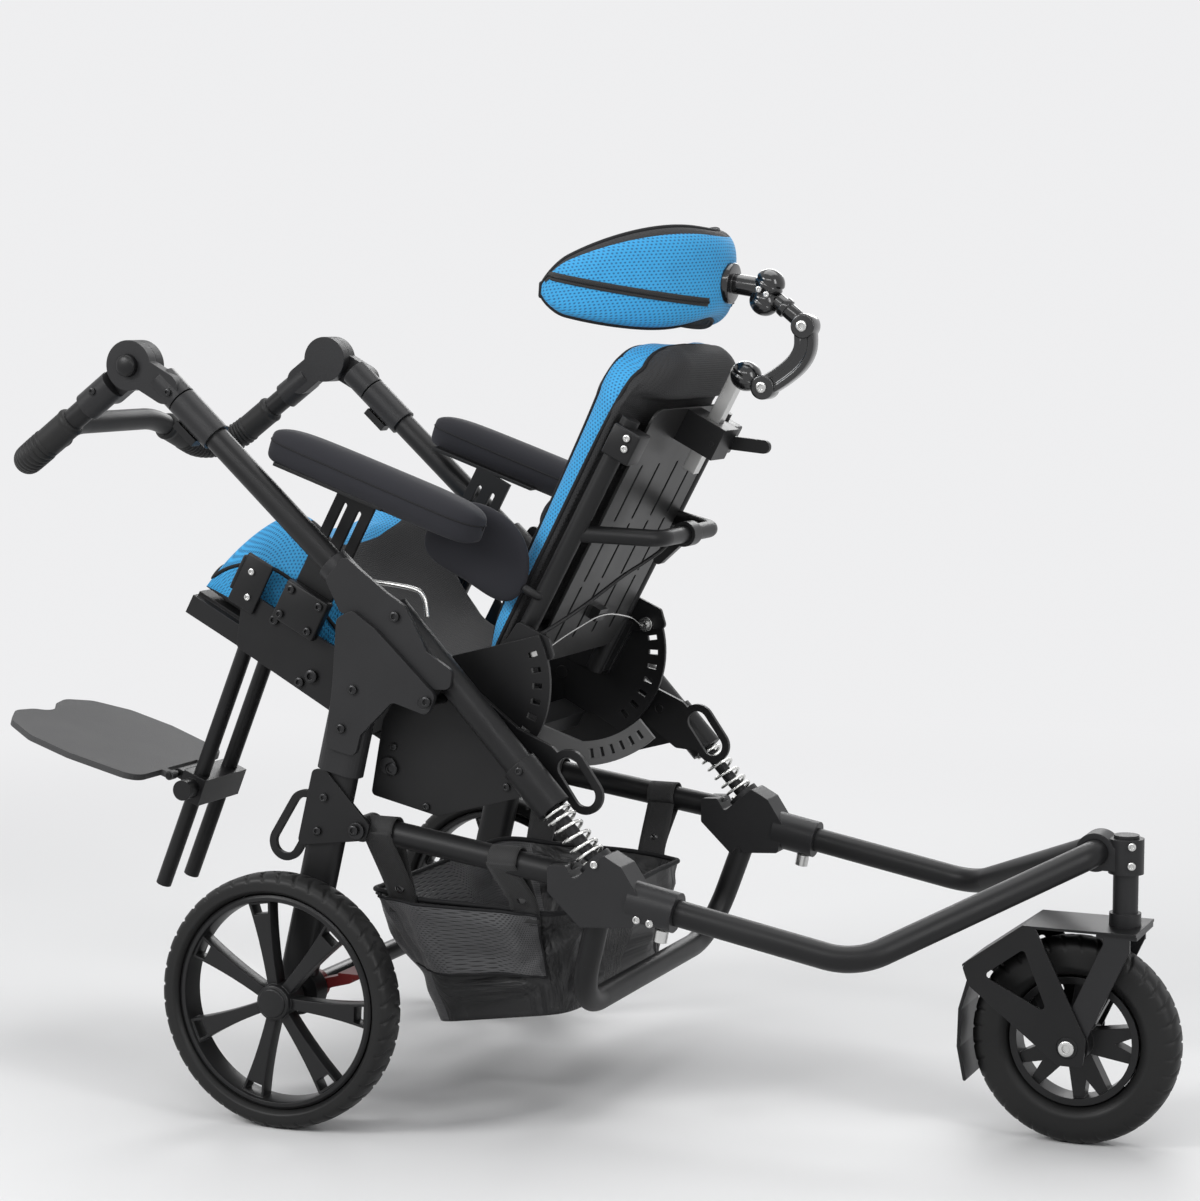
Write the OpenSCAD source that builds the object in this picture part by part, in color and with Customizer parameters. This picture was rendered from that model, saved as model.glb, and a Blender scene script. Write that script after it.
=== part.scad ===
// Special needs buggy: a folding push frame on two rear wheels, a jogger front
// wheel on a clip-on bow, and a tilting seat unit that faces the pusher.
// Millimetres. +X is the way it rolls, +Y its left side, +Z up. The origin is on
// the floor, in the middle of the whole length.

/* [Wheels] */
// Diameter over the rear tyres
rear_wheel_d = 300; // [290:1:310]
// Width of a rear tyre
rear_tyre_w = 45; // [40:1:46]
// Diameter over the front tyre
front_wheel_d = 240; // [225:1:244]
// Width of the front tyre
front_tyre_w = 48; // [40:1:54]
// Distance over the outer faces of the rear tyres
track_w = 648; // [646:1:680]
// Distance from the rear axle to the front axle
wheel_base = 868; // [850:1:890]
// Number of spokes in a rear wheel
rear_spokes = 7; // [5:1:9]
// Number of spokes in the front wheel
front_spokes = 5; // [4:1:6]

/* [Push frame] */
// Distance between the middles of the side tubes
frame_w = 482; // [478:1:486]
// Diameter of the pusher tubes
pusher_d = 30; // [26:1:31]
// Diameter of the front tubes
front_tube_d = 34; // [33:0.5:36]
// Diameter of the lower tubes
lower_tube_d = 30; // [26:1:31]
// Diameter of the bow that carries the front wheel
bow_d = 30; // [26:1:32]
// Diameter of the hoop under the frame
hoop_d = 28; // [24:1:30]
// Width of a rear leg, seen from the side
leg_w = 46; // [40:1:50]
// Thickness of a rear leg, across the buggy
leg_t = 25; // [20:1:26]
// Thickness of the side panels
panel_t = 3; // [2:0.5:4]
// Thickness of the tie-down plates
tie_plate_t = 6; // [4:1:8]
// Diameter of the push handle's tube
handle_d = 28; // [24:1:30]
// Diameter over the rubber grips
grip_d = 37; // [34:1:40]
// Diameter of the handle's angle joints
disc_d = 60; // [50:1:62]

/* [Suspension] */
// Wire diameter of the springs
spring_wire = 4; // [3:0.5:5]
// Middle diameter of the springs
spring_d = 31; // [28:1:33]
// Full turns in a spring
spring_turns = 6; // [5:1:7]
// Diameter of the rod inside a spring
rod_d = 16; // [12:1:16]
// Side play between a rod and the front tube's bore
rod_play = 5.3; // [5.3:0.1:5.8]

/* [Seat] */
// Distance over the outer faces of the seat's side plates
seat_w = 362; // [356:1:366]
// Backwards tilt of the seat as it stands
seat_tilt = 28; // [27:0.5:29]
// Thickness of the side plates
side_plate_t = 5; // [4:0.5:6]
// Depth of the seat cushion, front to back
cushion_l = 338; // [320:1:342]
// Width of the seat cushion
cushion_w = 322; // [300:1:326]
// Height of the back cushion
back_h = 432; // [415:1:436]
// Width of the back cushion
back_w = 304; // [290:1:306]
// Diameter of the backrest tubes
back_tube_d = 22; // [18:1:23]
// Thickness of the back shell
shell_t = 3; // [2:0.5:4]
// Length of an armrest pad
arm_pad_l = 290; // [270:1:295]
// Width of an armrest pad
arm_pad_w = 62; // [56:1:64]
// Thickness of an armrest pad
arm_pad_t = 44; // [38:1:45]
// Width over the headrest
head_w = 290; // [270:1:300]
// Height of the headrest
head_h = 125; // [110:1:128]
// Thickness of the headrest
head_t = 54; // [44:1:54]

/* [Footrest] */
// Diameter of the footrest tubes
foot_tube_d = 20; // [16:1:22]
// Distance between the footrest tubes
foot_tube_gap = 68; // [60:1:80]
// Width of the footplate
footplate_w = 250; // [230:1:280]
// Depth of the footplate
footplate_l = 226; // [210:1:232]
// Thickness of the footplate
footplate_t = 8; // [6:1:10]

/* [Basket] */
// Width of the basket at its rim
basket_w = 384; // [360:1:390]
// Wall of the basket
basket_t = 4; // [3:0.5:6]

/* [Hidden] */
$fn = 48;

// Fits that every piece shares
seat_gap = 0.3;
run_gap = 0.05;
press_gap = 0.2;
overrun = 5;
arc_steps = 6;

black = "#1c1c1e";
grey = "#4b4b4f";
steel = "#c4c6c8";
blue = "#2b9bd6";
cloth = "#17181c";
rubber = "#151515";
red = "#8e1b22";

// Places along the buggy, [x, z], and half distances across it
frame_y = frame_w / 2;
rear_axle_x = -234;
rear_axle = [rear_axle_x, rear_wheel_d / 2];
front_axle = [rear_axle_x + wheel_base, front_wheel_d / 2];
rear_wheel_y = track_w / 2 - rear_tyre_w / 2;
fold_pivot = [-100, 600];
tilt_pivot = [-87, 486];
lower_pivot = [-150, 349];
handle_pivot = [-456, 883];
front_tube_top = [-113, 607];
front_tube_end = [88, 387];
spring_foot = [137, 333];
pusher_top = [-418, 866];
pusher_end = [-159, 625];
leg_top = [-160, 500];
leg_foot = [-240, 160];
lower_tube_end = [112, 311];
socket_start = [184, 290];
bow_low = [446, 240];

// Unit vector along v
function unit(v) = v / norm(v);

// An [x, z] place moved across to y
function at_y(p, y) = [p[0], y, p[1]];

// A point a given length along the line from p towards q
function along(p, q, length) = p + unit(q - p) * length;

// Shares of a piece's length and height, laid out from its low corner
function spread(shares, at, size) = [for (s = shares) at + [s[0] * size[0], s[1] * size[1]]];

// The arc that rounds corner b of an outline, between its neighbours a and c
function corner_arc(a, b, c, r) =
  let (
    u = unit(a - b),
    w = unit(c - b),
    half = acos(max(-1, min(1, u * w))) / 2,
    centre = b + unit(u + w) * r / sin(half),
    from = b + u * r / tan(half) - centre,
    to = b + w * r / tan(half) - centre,
    start = atan2(from[1], from[0]),
    turn = atan2(from[0] * to[1] - from[1] * to[0], from * to) / arc_steps
  )
  [for (i = [0:arc_steps]) centre + r * [cos(start + turn * i), sin(start + turn * i)]];

// An outline with every corner rounded
function rounded(points, r) =
  let (n = len(points))
  [for (i = [0:n - 1]) each corner_arc(points[(i + n - 1) % n], points[i], points[(i + 1) % n], r)];

// A capsule outline round the line from p to q
module capsule(p, q, r) {
  side = r * unit([p[1] - q[1], q[0] - p[0]]);
  polygon([p + side, q + side, q - side, p - side]);
  translate(p) circle(r = r);
  translate(q) circle(r = r);
}

// The children's flat [x, z] outline, standing along the buggy from y to y + t
module side_slab(y, t) {
  translate([0, y + t, 0]) rotate([90, 0, 0]) linear_extrude(t) children();
}

// A plate standing along the buggy from y to y + t, with holes cut by the children
module side_plate(outline, y, t) {
  side_slab(y, t) difference() {
    polygon(outline);
    children();
  }
}

// A round section, hollow where bore is more than zero
module round_section(d, bore) {
  difference() {
    circle(d = d);
    if (bore > 0) circle(d = bore);
  }
}

// A round bar from p to q, or a pipe
module rod(p, q, d, bore = 0) {
  v = q - p;
  translate(p) rotate([0, acos(v[2] / norm(v)), atan2(v[1], v[0])])
    linear_extrude(norm(v)) round_section(d, bore);
}

// A round bar between two [x, z] places in the left side frame
module side_rod(p, q, d) {
  rod(at_y(p, frame_y), at_y(q, frame_y), d);
}

// A round bar across the buggy at an [x, z] place, from y0 to y1
module cross_rod(place, y0, y1, d) {
  rod(at_y(place, y0), at_y(place, y1), d);
}

// A box standing on a level, centred across the buggy
module cross_box(x, z, size) {
  translate([x, -size[1] / 2, z]) cube(size);
}

// Straight length that a bend of radius r takes from each side of corner b
function bend_cut(a, b, c, r) = r / tan(acos(unit(a - b) * unit(c - b)) / 2);

// The round bend of a bar or pipe at corner b
module bend(a, b, c, d, r, bore) {
  u = unit(a - b);
  w = unit(c - b);
  cut = bend_cut(a, b, c, r);
  centre = b + unit(u + w) * r / sin(acos(u * w) / 2);
  ex = unit(b + u * cut - centre);
  ez = unit(cross(ex, b + w * cut - centre));
  ey = cross(ez, ex);
  multmatrix([
    [ex[0], ey[0], ez[0], centre[0]],
    [ex[1], ey[1], ez[1], centre[1]],
    [ex[2], ey[2], ez[2], centre[2]],
    [0, 0, 0, 1]
  ])
    rotate_extrude(angle = 180 - acos(u * w)) translate([r, 0]) round_section(d, bore);
}

// A bar or pipe through the points, with one bend radius in r for each corner between the
// ends. The straights are a touch thicker and lap into the bends, so all of it is one solid.
lap = 0.6;
lap_swell = 0.1;

module bent_tube(points, d, r, bore = 0) {
  last = len(points) - 1;
  cut = [
    for (i = [0:last])
      i == 0 || i == last ? 0 : bend_cut(points[i - 1], points[i], points[i + 1], r[i - 1]) - lap
  ];
  inner = bore > 0 ? bore - lap_swell : 0;
  for (i = [0:last - 1]) {
    step = unit(points[i + 1] - points[i]);
    rod(points[i] + step * cut[i], points[i + 1] - step * cut[i + 1], d + lap_swell, inner);
  }
  for (i = [1:last - 1]) bend(points[i - 1], points[i], points[i + 1], d, r[i - 1], bore);
}

// The same piece on the left and the right
module both_sides() {
  children();
  mirror([0, 1, 0]) children();
}

// The left piece for side 1, and its mirror image for side -1
module on_side(side) {
  if (side > 0) children();
  if (side < 0) mirror([0, 1, 0]) children();
}

// A closed solid between two grids of points, the first one on top
module grid_solid(top, bottom) {
  rows = len(top);
  cols = len(top[0]);
  count = rows * cols;
  points = concat([for (row = top) each row], [for (row = bottom) each row]);
  skin = [
    for (i = [0:rows - 2], j = [0:cols - 2])
      let (a = i * cols + j, b = a + 1, c = a + cols, d = c + 1)
      each [[a, c, b], [b, c, d], [count + a, count + b, count + c], [count + b, count + d, count + c]]
  ];
  ends = [
    for (j = [0:cols - 2], i = [0, rows - 1])
      let (a = i * cols + j, b = a + 1)
      each i == 0
        ? [[a, b, count + a], [b, count + b, count + a]]
        : [[b, a, count + b], [a, count + a, count + b]]
  ];
  sides = [
    for (i = [0:rows - 2], j = [0, cols - 1])
      let (a = i * cols + j, c = a + cols)
      each j == 0
        ? [[c, a, count + c], [a, count + a, count + c]]
        : [[a, c, count + a], [c, count + c, count + a]]
  ];
  polyhedron(points = points, faces = concat(skin, ends, sides));
}

// Direction of a path at point i
function path_way(path, i) = unit(path[min(i + 1, len(path) - 1)] - path[max(i - 1, 0)]);

// A tube swept along a path, with ref a direction that the path never takes
module swept_tube(path, d, sides, ref) {
  last = len(path) - 1;
  points = [
    for (i = [0:last])
      let (way = path_way(path, i), n = unit(cross(way, ref)), b = cross(way, n))
      each [for (s = [0:sides - 1]) path[i] + d / 2 * (n * cos(360 * s / sides) + b * sin(360 * s / sides))]
  ];
  walls = [
    for (i = [0:last - 1], s = [0:sides - 1])
      let (a = i * sides + s, b = i * sides + (s + 1) % sides)
      each [[a, a + sides, b], [b, a + sides, b + sides]]
  ];
  caps = [
    for (s = [1:sides - 2])
      each [[0, s, s + 1], [last * sides, last * sides + s + 1, last * sides + s]]
  ];
  polyhedron(points = points, faces = concat(walls, caps));
}

// Front tubes: the straight upper tubes of the frame, each with a spring sleeve at its foot
sleeve_d = 42;
sleeve_l = 64;
rod_in_tube = 42;
bore_spare = 20;
fold_pin_d = 10;

module front_tubes() {
  bore_top = along(front_tube_end, front_tube_top, rod_in_tube + bore_spare);
  color(black) both_sides() difference() {
    union() {
      side_rod(front_tube_top, front_tube_end, front_tube_d);
      side_rod(along(front_tube_end, front_tube_top, sleeve_l), front_tube_end, sleeve_d);
    }
    side_rod(bore_top, along(front_tube_end, front_tube_top, -overrun), rod_d + 2 * rod_play);
    cross_rod(fold_pivot, frame_y - front_tube_d, frame_y + front_tube_d, fold_pin_d + 2 * press_gap);
  }
}

// Rear legs: flat oval tubes from the joint covers down to the axle bosses
leg_offset = 9;
leg_y = frame_y + leg_offset;
leg_boss_d = 54;
axle_d = 12;
leg_lean = atan2(leg_top[0] - leg_foot[0], leg_top[1] - leg_foot[1]);
leg_l = norm(leg_top - leg_foot);
leg_corner_share = 0.45;
leg_corner = leg_t * leg_corner_share;

function leg_outline(grow) =
  let (w = leg_w / 2 + grow, t = leg_t / 2 + grow)
  rounded([[-w, -t], [w, -t], [w, t], [-w, t]], leg_corner + grow);

// The middle of the leg at a height up from its foot
function leg_at(up) = along(leg_foot, leg_top, up);

// A length of leg section, from one height to another up the leg
module leg_length(from, to, grow) {
  translate(at_y(leg_foot, leg_y))
    rotate([0, leg_lean, 0])
      translate([0, 0, from]) linear_extrude(to - from) polygon(leg_outline(grow));
}

module rear_legs() {
  color(black) both_sides() difference() {
    union() {
      leg_length(0, leg_l, 0);
      cross_rod(rear_axle, leg_y - leg_t / 2, leg_y + leg_t / 2, leg_boss_d);
    }
    cross_rod(rear_axle, leg_y - leg_t, leg_y + leg_t, axle_d + 2 * press_gap);
  }
}

// Joint covers: grey castings that hold the leg and bolt through to the side panel
cover_t = 7;
arm_plate_t = 6;
arm_clear = 0.6;
arm_y = frame_y + max(pusher_d, front_tube_d) / 2 + arm_clear;
cover_y = arm_y + arm_plate_t + seat_gap;
cover_wall = 5;
cover_grip = 88;
cover_bolt = [-62, 503];
cover_bolt_d = 12;
cover_corner = 9;
cover_at = [-188, 436];
cover_size = [142, 170];
cover_shares = [
  [0.11, 0.94], [0.25, 1], [0.46, 0.88], [1, 0.45], [0.93, 0.31], [0.61, 0.39], [0.32, 0.15], [0.27, 0],
  [0, 0.05], [0.07, 0.49]
];

module joint_covers() {
  color(grey) both_sides() difference() {
    union() {
      side_plate(rounded(spread(cover_shares, cover_at, cover_size), cover_corner), cover_y, cover_t);
      leg_length(leg_l - cover_grip, leg_l - press_gap, cover_wall);
    }
    leg_length(leg_l - cover_grip - overrun, leg_l + cover_wall, press_gap);
    cross_rod(cover_bolt, cover_y - overrun, cover_y + cover_t + overrun, cover_bolt_d + 2 * press_gap);
  }
}

// Seat carrier: side panels inside the tubes, welded to a cross tube, with the two tilt pins
panel_y = frame_y - sleeve_d / 2 - seat_gap - panel_t;
panel_corner = 6;
panel_at = [-156, 364];
panel_size = [228, 168];
panel_shares = [[0.07, 0.65], [0.12, 0.76], [0.49, 1.03], [1.03, 0.29], [1, 0.23], [0.38, 0], [0, 0.12]];
tilt_pin_d = 16;
tilt_pin_spare = 1;
tilt_pin_end = seat_w / 2 - side_plate_t - tilt_pin_spare;
carrier_d = 30;
carrier = [-132, 420];
tie_bolt_d = 10;
tie_bolts_down = [178, 224];
tie_bolts = [for (down = tie_bolts_down) along(front_tube_top, front_tube_end, down)];

module seat_carrier() {
  color(black) {
    cross_rod(carrier, -panel_y, panel_y, carrier_d);
    both_sides() {
      side_plate(rounded(spread(panel_shares, panel_at, panel_size), panel_corner), panel_y, panel_t) {
        translate(cover_bolt) circle(d = cover_bolt_d + 2 * press_gap);
        for (p = tie_bolts) translate(p) circle(d = tie_bolt_d + 2 * press_gap);
      }
      cross_rod(tilt_pivot, tilt_pin_end, panel_y + panel_t, tilt_pin_d);
    }
  }
}

// Rear brackets: triangular plates outside the legs, with a tie-down loop behind
bracket_t = 4;
bracket_y = leg_y + leg_t / 2 + seat_gap;
bracket_corner = 7;
bracket_at = [-230, 326];
bracket_size = [96, 92];
bracket_shares = [[0.23, 1], [0.4, 1], [1, 0.33], [0.94, 0.13], [0, 0]];
pivot_pin_d = 10;
loop_t = 6;
loop_r = 22;
loop_slot_r = 13;
rear_loop_top = [-226, 368];
rear_loop_low = [-252, 326];
loop_root_low = 172;
loop_root_high = 250;

module rear_brackets() {
  outline = spread(bracket_shares, bracket_at, bracket_size);
  root = [leg_at(loop_root_high), rear_loop_top, rear_loop_low, leg_at(loop_root_low)];
  color(black) both_sides() {
    side_plate(rounded(outline, bracket_corner), bracket_y, bracket_t)
      translate(lower_pivot) circle(d = pivot_pin_d + 2 * press_gap);
    difference() {
      side_slab(leg_y - loop_t / 2, loop_t) difference() {
        union() {
          capsule(rear_loop_top, rear_loop_low, loop_r);
          polygon(root);
        }
        capsule(rear_loop_top, rear_loop_low, loop_slot_r);
      }
      leg_length(0, leg_l, press_gap);
    }
  }
}

// Tie-down plates: plates inside the front tubes, ending in a loop beside the springs
tie_inset = 34;
tie_y = frame_y - tie_inset - tie_plate_t;
tie_loop_top = [90, 428];
tie_loop_low = [111, 398];
tie_corner = 8;
tie_at = [-46, 390];
tie_size = [150, 122];
tie_shares = [
  [0, 0.9], [0.13, 1], [0.49, 0.66], [0.77, 0.51], [1, 0.25], [0.92, 0], [0.71, 0.02], [0.31, 0.38]
];

module tie_down_plates() {
  color(black) both_sides() side_slab(tie_y, tie_plate_t) difference() {
    union() {
      polygon(rounded(spread(tie_shares, tie_at, tie_size), tie_corner));
      capsule(tie_loop_top, tie_loop_low, loop_r);
    }
    capsule(tie_loop_top, tie_loop_low, loop_slot_r);
    for (p = tie_bolts) translate(p) circle(d = tie_bolt_d + 2 * press_gap);
  }
}

// Axle and bolts: the rear axle with its spacers, and the pins and bolts of the frame
axle_tube_d = 24;
axle_spare = 10;
axle_end = track_w / 2 - axle_spare;
hub_inset = 4;
rear_hub_w = rear_tyre_w - 2 * hub_inset;
bolt_head = 4;
bolt_head_d = 20;

module axle_and_bolts() {
  bracket_out = bracket_y + bracket_t;
  panel_out = panel_y + panel_t;
  tube_in = frame_y - front_tube_d / 2;
  color(steel) {
    cross_rod(rear_axle, -axle_end, axle_end, axle_d);
    cross_rod(rear_axle, -leg_y + leg_t / 2, leg_y - leg_t / 2, axle_tube_d);
    both_sides() {
      cross_rod(rear_axle, leg_y + leg_t / 2, rear_wheel_y - rear_hub_w / 2 - seat_gap, axle_tube_d);
      cross_rod(fold_pivot, tube_in, arm_y + arm_plate_t, fold_pin_d);
      cross_rod(lower_pivot, frame_y - lower_tube_d / 2, bracket_out, pivot_pin_d);
      cross_rod(lower_pivot, bracket_out, bracket_out + bolt_head, bolt_head_d);
      cross_rod(cover_bolt, panel_y, cover_y + cover_t, cover_bolt_d);
      for (p = tie_bolts) cross_rod(p, tie_y, tube_in, tie_bolt_d);
      cross_rod(carrier, panel_out, panel_out + bolt_head, bolt_head_d);
    }
  }
}

// Brake pedal: a red rocker on the axle tube beside the right leg
pedal_boss_d = 36;
pedal_boss_l = 20;
pedal_side_gap = 4;
pedal_reach = 52;
pedal_rise = 14;
pedal_w = 58;
pedal_t = 6;
pedal_depth = 26;

module brake_pedal() {
  y = -leg_y + leg_t / 2 + pedal_side_gap;
  foot = rear_axle + [pedal_reach, pedal_rise];
  color(red) difference() {
    union() {
      cross_rod(rear_axle, y, y + pedal_boss_l, pedal_boss_d);
      side_slab(y, pedal_boss_l) capsule(rear_axle, foot, pedal_t);
      translate([foot[0] - pedal_depth / 2, y, foot[1]]) cube([pedal_depth, pedal_w, pedal_t]);
    }
    cross_rod(rear_axle, y - overrun, y + pedal_boss_l + overrun, axle_tube_d + 2 * run_gap);
  }
}

// Lower tubes: hinged on the rear brackets, they carry the front of the buggy
module lower_tubes() {
  half = lower_tube_d / 2;
  color(black) both_sides() difference() {
    union() {
      side_rod(lower_pivot, lower_tube_end, lower_tube_d);
      cross_rod(lower_pivot, frame_y - half, frame_y + half, lower_tube_d);
    }
    cross_rod(lower_pivot, frame_y - lower_tube_d, frame_y + lower_tube_d, pivot_pin_d + 2 * run_gap);
  }
}

// Front nodes: castings that join the lower tubes, hoop, spring rods and bow sockets
node_t = 40;
node_corner = 4;
node_at = [88, 258];
node_size = [110, 84];
node_shares = [
  [0, 0.45], [0, 0.81], [0.2, 0.82], [0.29, 0.63], [0.62, 1], [0.82, 0.86], [1, 0.5], [0.95, 0.05],
  [0.36, 0]
];
socket_d = 46;
socket_l = 55;
socket_end = along(socket_start, bow_low, socket_l);
socket_way = unit(bow_low - socket_start);
socket_normal = [socket_way[1], -socket_way[0]];
spring_seat_d = 40;
spring_seat_t = 7;
spring_way = unit(front_tube_end - spring_foot);
lock_pin_d = 8;
lock_pin_back = 14;
lock_pin_place = along(socket_end, socket_start, lock_pin_back);

module front_nodes() {
  outline = spread(node_shares, node_at, node_size);
  tube_stop = along(lower_tube_end, lower_pivot, -press_gap);
  bow_stop = socket_start - socket_way * press_gap;
  color(grey) both_sides() difference() {
    union() {
      side_plate(rounded(outline, node_corner), frame_y - node_t / 2, node_t);
      side_rod(socket_start, socket_end, socket_d);
      side_rod(spring_foot - spring_way * spring_seat_t, spring_foot, spring_seat_d);
      side_rod(spring_foot, along(front_tube_end, front_tube_top, rod_in_tube), rod_d);
    }
    side_rod(lower_pivot, tube_stop, lower_tube_d + 2 * press_gap);
    side_rod(bow_stop, socket_end + socket_way * overrun, bow_d + 2 * press_gap);
    side_rod(lock_pin_place, lock_pin_place + socket_normal * socket_d, lock_pin_d + 2 * run_gap);
    hoop_path(hoop_d + 2 * press_gap);
  }
}

// Hoop: a tube bent down between the front nodes, round the basket
hoop_top = [142, 272];
hoop_foot = [104, 150];
hoop_foot_y = 213;
hoop_inset = 4;
hoop_bend = 78;

module hoop_path(d) {
  top_y = frame_y - hoop_inset;
  bent_tube([
    at_y(hoop_top, top_y), at_y(hoop_foot, hoop_foot_y),
    at_y(hoop_foot, -hoop_foot_y), at_y(hoop_top, -top_y)
  ], d, [hoop_bend, hoop_bend]);
}

module u_hoop() {
  color(black) hoop_path(hoop_d);
}

// Suspension springs: round wire coils between the front nodes and the sleeves
spring_l = norm(front_tube_end - spring_foot) - 2 * seat_gap;
curl_rings = 8;
wire_sides = 6;
spring_rings = spring_turns * curl_rings;
spring_rise = (spring_l - 2 * spring_wire) / spring_rings;
spring_path = concat(
  [[spring_d / 2, 0, 0]],
  [
    for (i = [0:spring_rings])
      let (a = 360 * i / curl_rings)
      [spring_d / 2 * cos(a), spring_d / 2 * sin(a), spring_wire + i * spring_rise]
  ],
  [[spring_d / 2, 0, spring_l]]
);
echo(least_gap_in_a_spring = min([
  for (i = [1:spring_rings + 1], j = [1:spring_rings + 1])
    if (j - i > curl_rings / 2) norm(spring_path[i] - spring_path[j]) - spring_wire
]));

module springs() {
  color(steel) both_sides()
    translate(at_y(spring_foot + spring_way * seat_gap, frame_y))
      rotate([0, atan2(spring_way[0], spring_way[1]), 0])
        swept_tube(spring_path, spring_wire, wire_sides, [0, -0.3, 1]);
}

// Bow: one bent tube from both sockets up to the stem
steer_ahead = 53;
steer_x = front_axle[0] + steer_ahead;
stem_ahead = 21;
stem_clamp_z = 340;
stem_clamp = [front_axle[0] + stem_ahead, stem_clamp_z];
bow_bend = 70;
bow_top_y = 34;
bow_top_bend = 30;
bow_lock_depth = 10;

module front_bow() {
  lock_hole = lock_pin_place + socket_normal * (bow_d / 2 - bow_lock_depth);
  color(black) difference() {
    bent_tube([
      at_y(socket_start, frame_y), at_y(bow_low, frame_y), at_y(stem_clamp, bow_top_y),
      at_y(stem_clamp, -bow_top_y), at_y(bow_low, -frame_y), at_y(socket_start, -frame_y)
    ], bow_d, [bow_bend, bow_top_bend, bow_top_bend, bow_bend]);
    both_sides() side_rod(lock_hole, lock_pin_place + socket_normal * bow_d, lock_pin_d + 2 * press_gap);
  }
}

// Stem: clamps the bow's top and holds the fork's steerer
stem_clamp_d = 44;
stem_clamp_w = 36;
steerer_d = 28.6;
steerer_clamp_d = 40;
steerer_clamp_h = 40;
steer_stand = 4;
stem_neck_h = 26;
stem_neck_up = 4;
steer_top = 360;

module stem() {
  low = steer_top - steerer_clamp_h - steer_stand;
  color(black) difference() {
    union() {
      cross_rod(stem_clamp, -stem_clamp_w / 2, stem_clamp_w / 2, stem_clamp_d);
      translate([steer_x, 0, low]) cylinder(h = steerer_clamp_h, d = steerer_clamp_d);
      cross_box(stem_clamp[0], low + stem_neck_up, [steer_x - stem_clamp[0], stem_clamp_w, stem_neck_h]);
    }
    cross_rod(stem_clamp, -stem_clamp_w, stem_clamp_w, bow_d + 2 * press_gap);
    translate([steer_x, 0, low - overrun])
      cylinder(h = steerer_clamp_h + 2 * overrun, d = steerer_d + 2 * run_gap);
  }
}

// Basket: an open bag between the lower tubes, hung on four straps
basket_rim_back = [-196, 262];
basket_rim_front = [92, 262];
basket_floor_back = [-112, 100];
basket_floor_front = [66, 128];
basket_floor_w = 300;
strap_places = [-128, 30];
strap_w = 34;
strap_t = 2;
strap_drop = 34;

// Four corners of the bag at one level, drawn in by inset
function bag_ring(back, front, w, inset) = [
  [back[0] + inset, inset - w / 2, back[1]], [front[0] - inset, inset - w / 2, front[1]],
  [front[0] - inset, w / 2 - inset, front[1]], [back[0] + inset, w / 2 - inset, back[1]]
];

// The bag's shape, drawn in by inset on each side and raised at its rim by lift
module bag(inset, lift) {
  low = bag_ring(basket_floor_back, basket_floor_front, basket_floor_w, inset);
  high = bag_ring(basket_rim_back, basket_rim_front, basket_w, inset);
  polyhedron(
    points = concat([for (p = low) p + [0, 0, inset]], [for (p = high) p + [0, 0, lift]]),
    faces = [
      [0, 1, 2], [0, 2, 3], [4, 6, 5], [4, 7, 6], [0, 5, 1], [0, 4, 5],
      [1, 6, 2], [1, 5, 6], [2, 7, 3], [2, 6, 7], [3, 4, 0], [3, 7, 4]
    ]
  );
}

// A strap from under a lower tube in to the basket's rim
module basket_strap(x) {
  slope = (lower_tube_end[1] - lower_pivot[1]) / (lower_tube_end[0] - lower_pivot[0]);
  tube_z = lower_pivot[1] + slope * (x + strap_w / 2 - lower_pivot[0]);
  high = tube_z - lower_tube_d / 2 / cos(atan(slope)) - seat_gap;
  y = basket_w / 2 + press_gap;
  rim = basket_rim_back[1];
  translate([x - strap_w / 2, 0, 0]) rotate([90, 0, 90]) linear_extrude(strap_w)
    polygon([
      [y, rim - strap_drop], [y + strap_t, rim - strap_drop], [y + strap_t, rim],
      [frame_y + strap_t, high], [frame_y, high], [y, rim]
    ]);
}

module basket() {
  color(cloth) {
    difference() {
      bag(0, 0);
      bag(basket_t, overrun);
    }
    both_sides() for (x = strap_places) basket_strap(x);
  }
}

// Lock pins: sprung pull pins that hold the bow in its sockets
lock_knob_d = 16;
lock_knob_l = 14;
lock_pin_rise = 6;

module lock_pin(side) {
  tip = lock_pin_place + socket_normal * (bow_d / 2 - lock_pin_rise);
  knob = lock_pin_place + socket_normal * (socket_d / 2 + seat_gap);
  color(steel) on_side(side) {
    side_rod(tip, knob + socket_normal * lock_knob_l / 2, lock_pin_d);
    side_rod(knob, knob + socket_normal * lock_knob_l, lock_knob_d);
  }
}

module lock_pin_left() { lock_pin(1); }

module lock_pin_right() { lock_pin(-1); }

// Fork: a steerer, a flat crown and two strap blades with the wheel's axle
blade_t = 5;
blade_w = 30;
blade_gap = 14;
blade_y = front_tyre_w / 2 + blade_gap;
crown_gap = 8;
crown_z = front_wheel_d + crown_gap;
crown_l = 46;
front_axle_d = 12;
collar_d = 36;
collar_h = 18;

module fork() {
  blade_out = blade_y + blade_t;
  color(black) {
    translate([steer_x, 0, crown_z]) cylinder(h = steer_top - crown_z, d = steerer_d);
    translate([steer_x, 0, crown_z + blade_t]) cylinder(h = collar_h, d = collar_d);
    cross_box(steer_x - crown_l / 2, crown_z, [crown_l, 2 * blade_out, blade_t]);
    both_sides() side_slab(blade_y, blade_t) {
      capsule(front_axle, [steer_x, crown_z - blade_w / 2 + blade_t], blade_w / 2);
      translate([steer_x - blade_w / 2, crown_z - blade_w / 2]) square([blade_w, blade_w / 2 + blade_t]);
    }
    cross_rod(front_axle, -blade_out, blade_out, front_axle_d);
    both_sides() cross_rod(front_axle, blade_out, blade_out + bolt_head, 2 * front_axle_d);
  }
}

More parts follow.
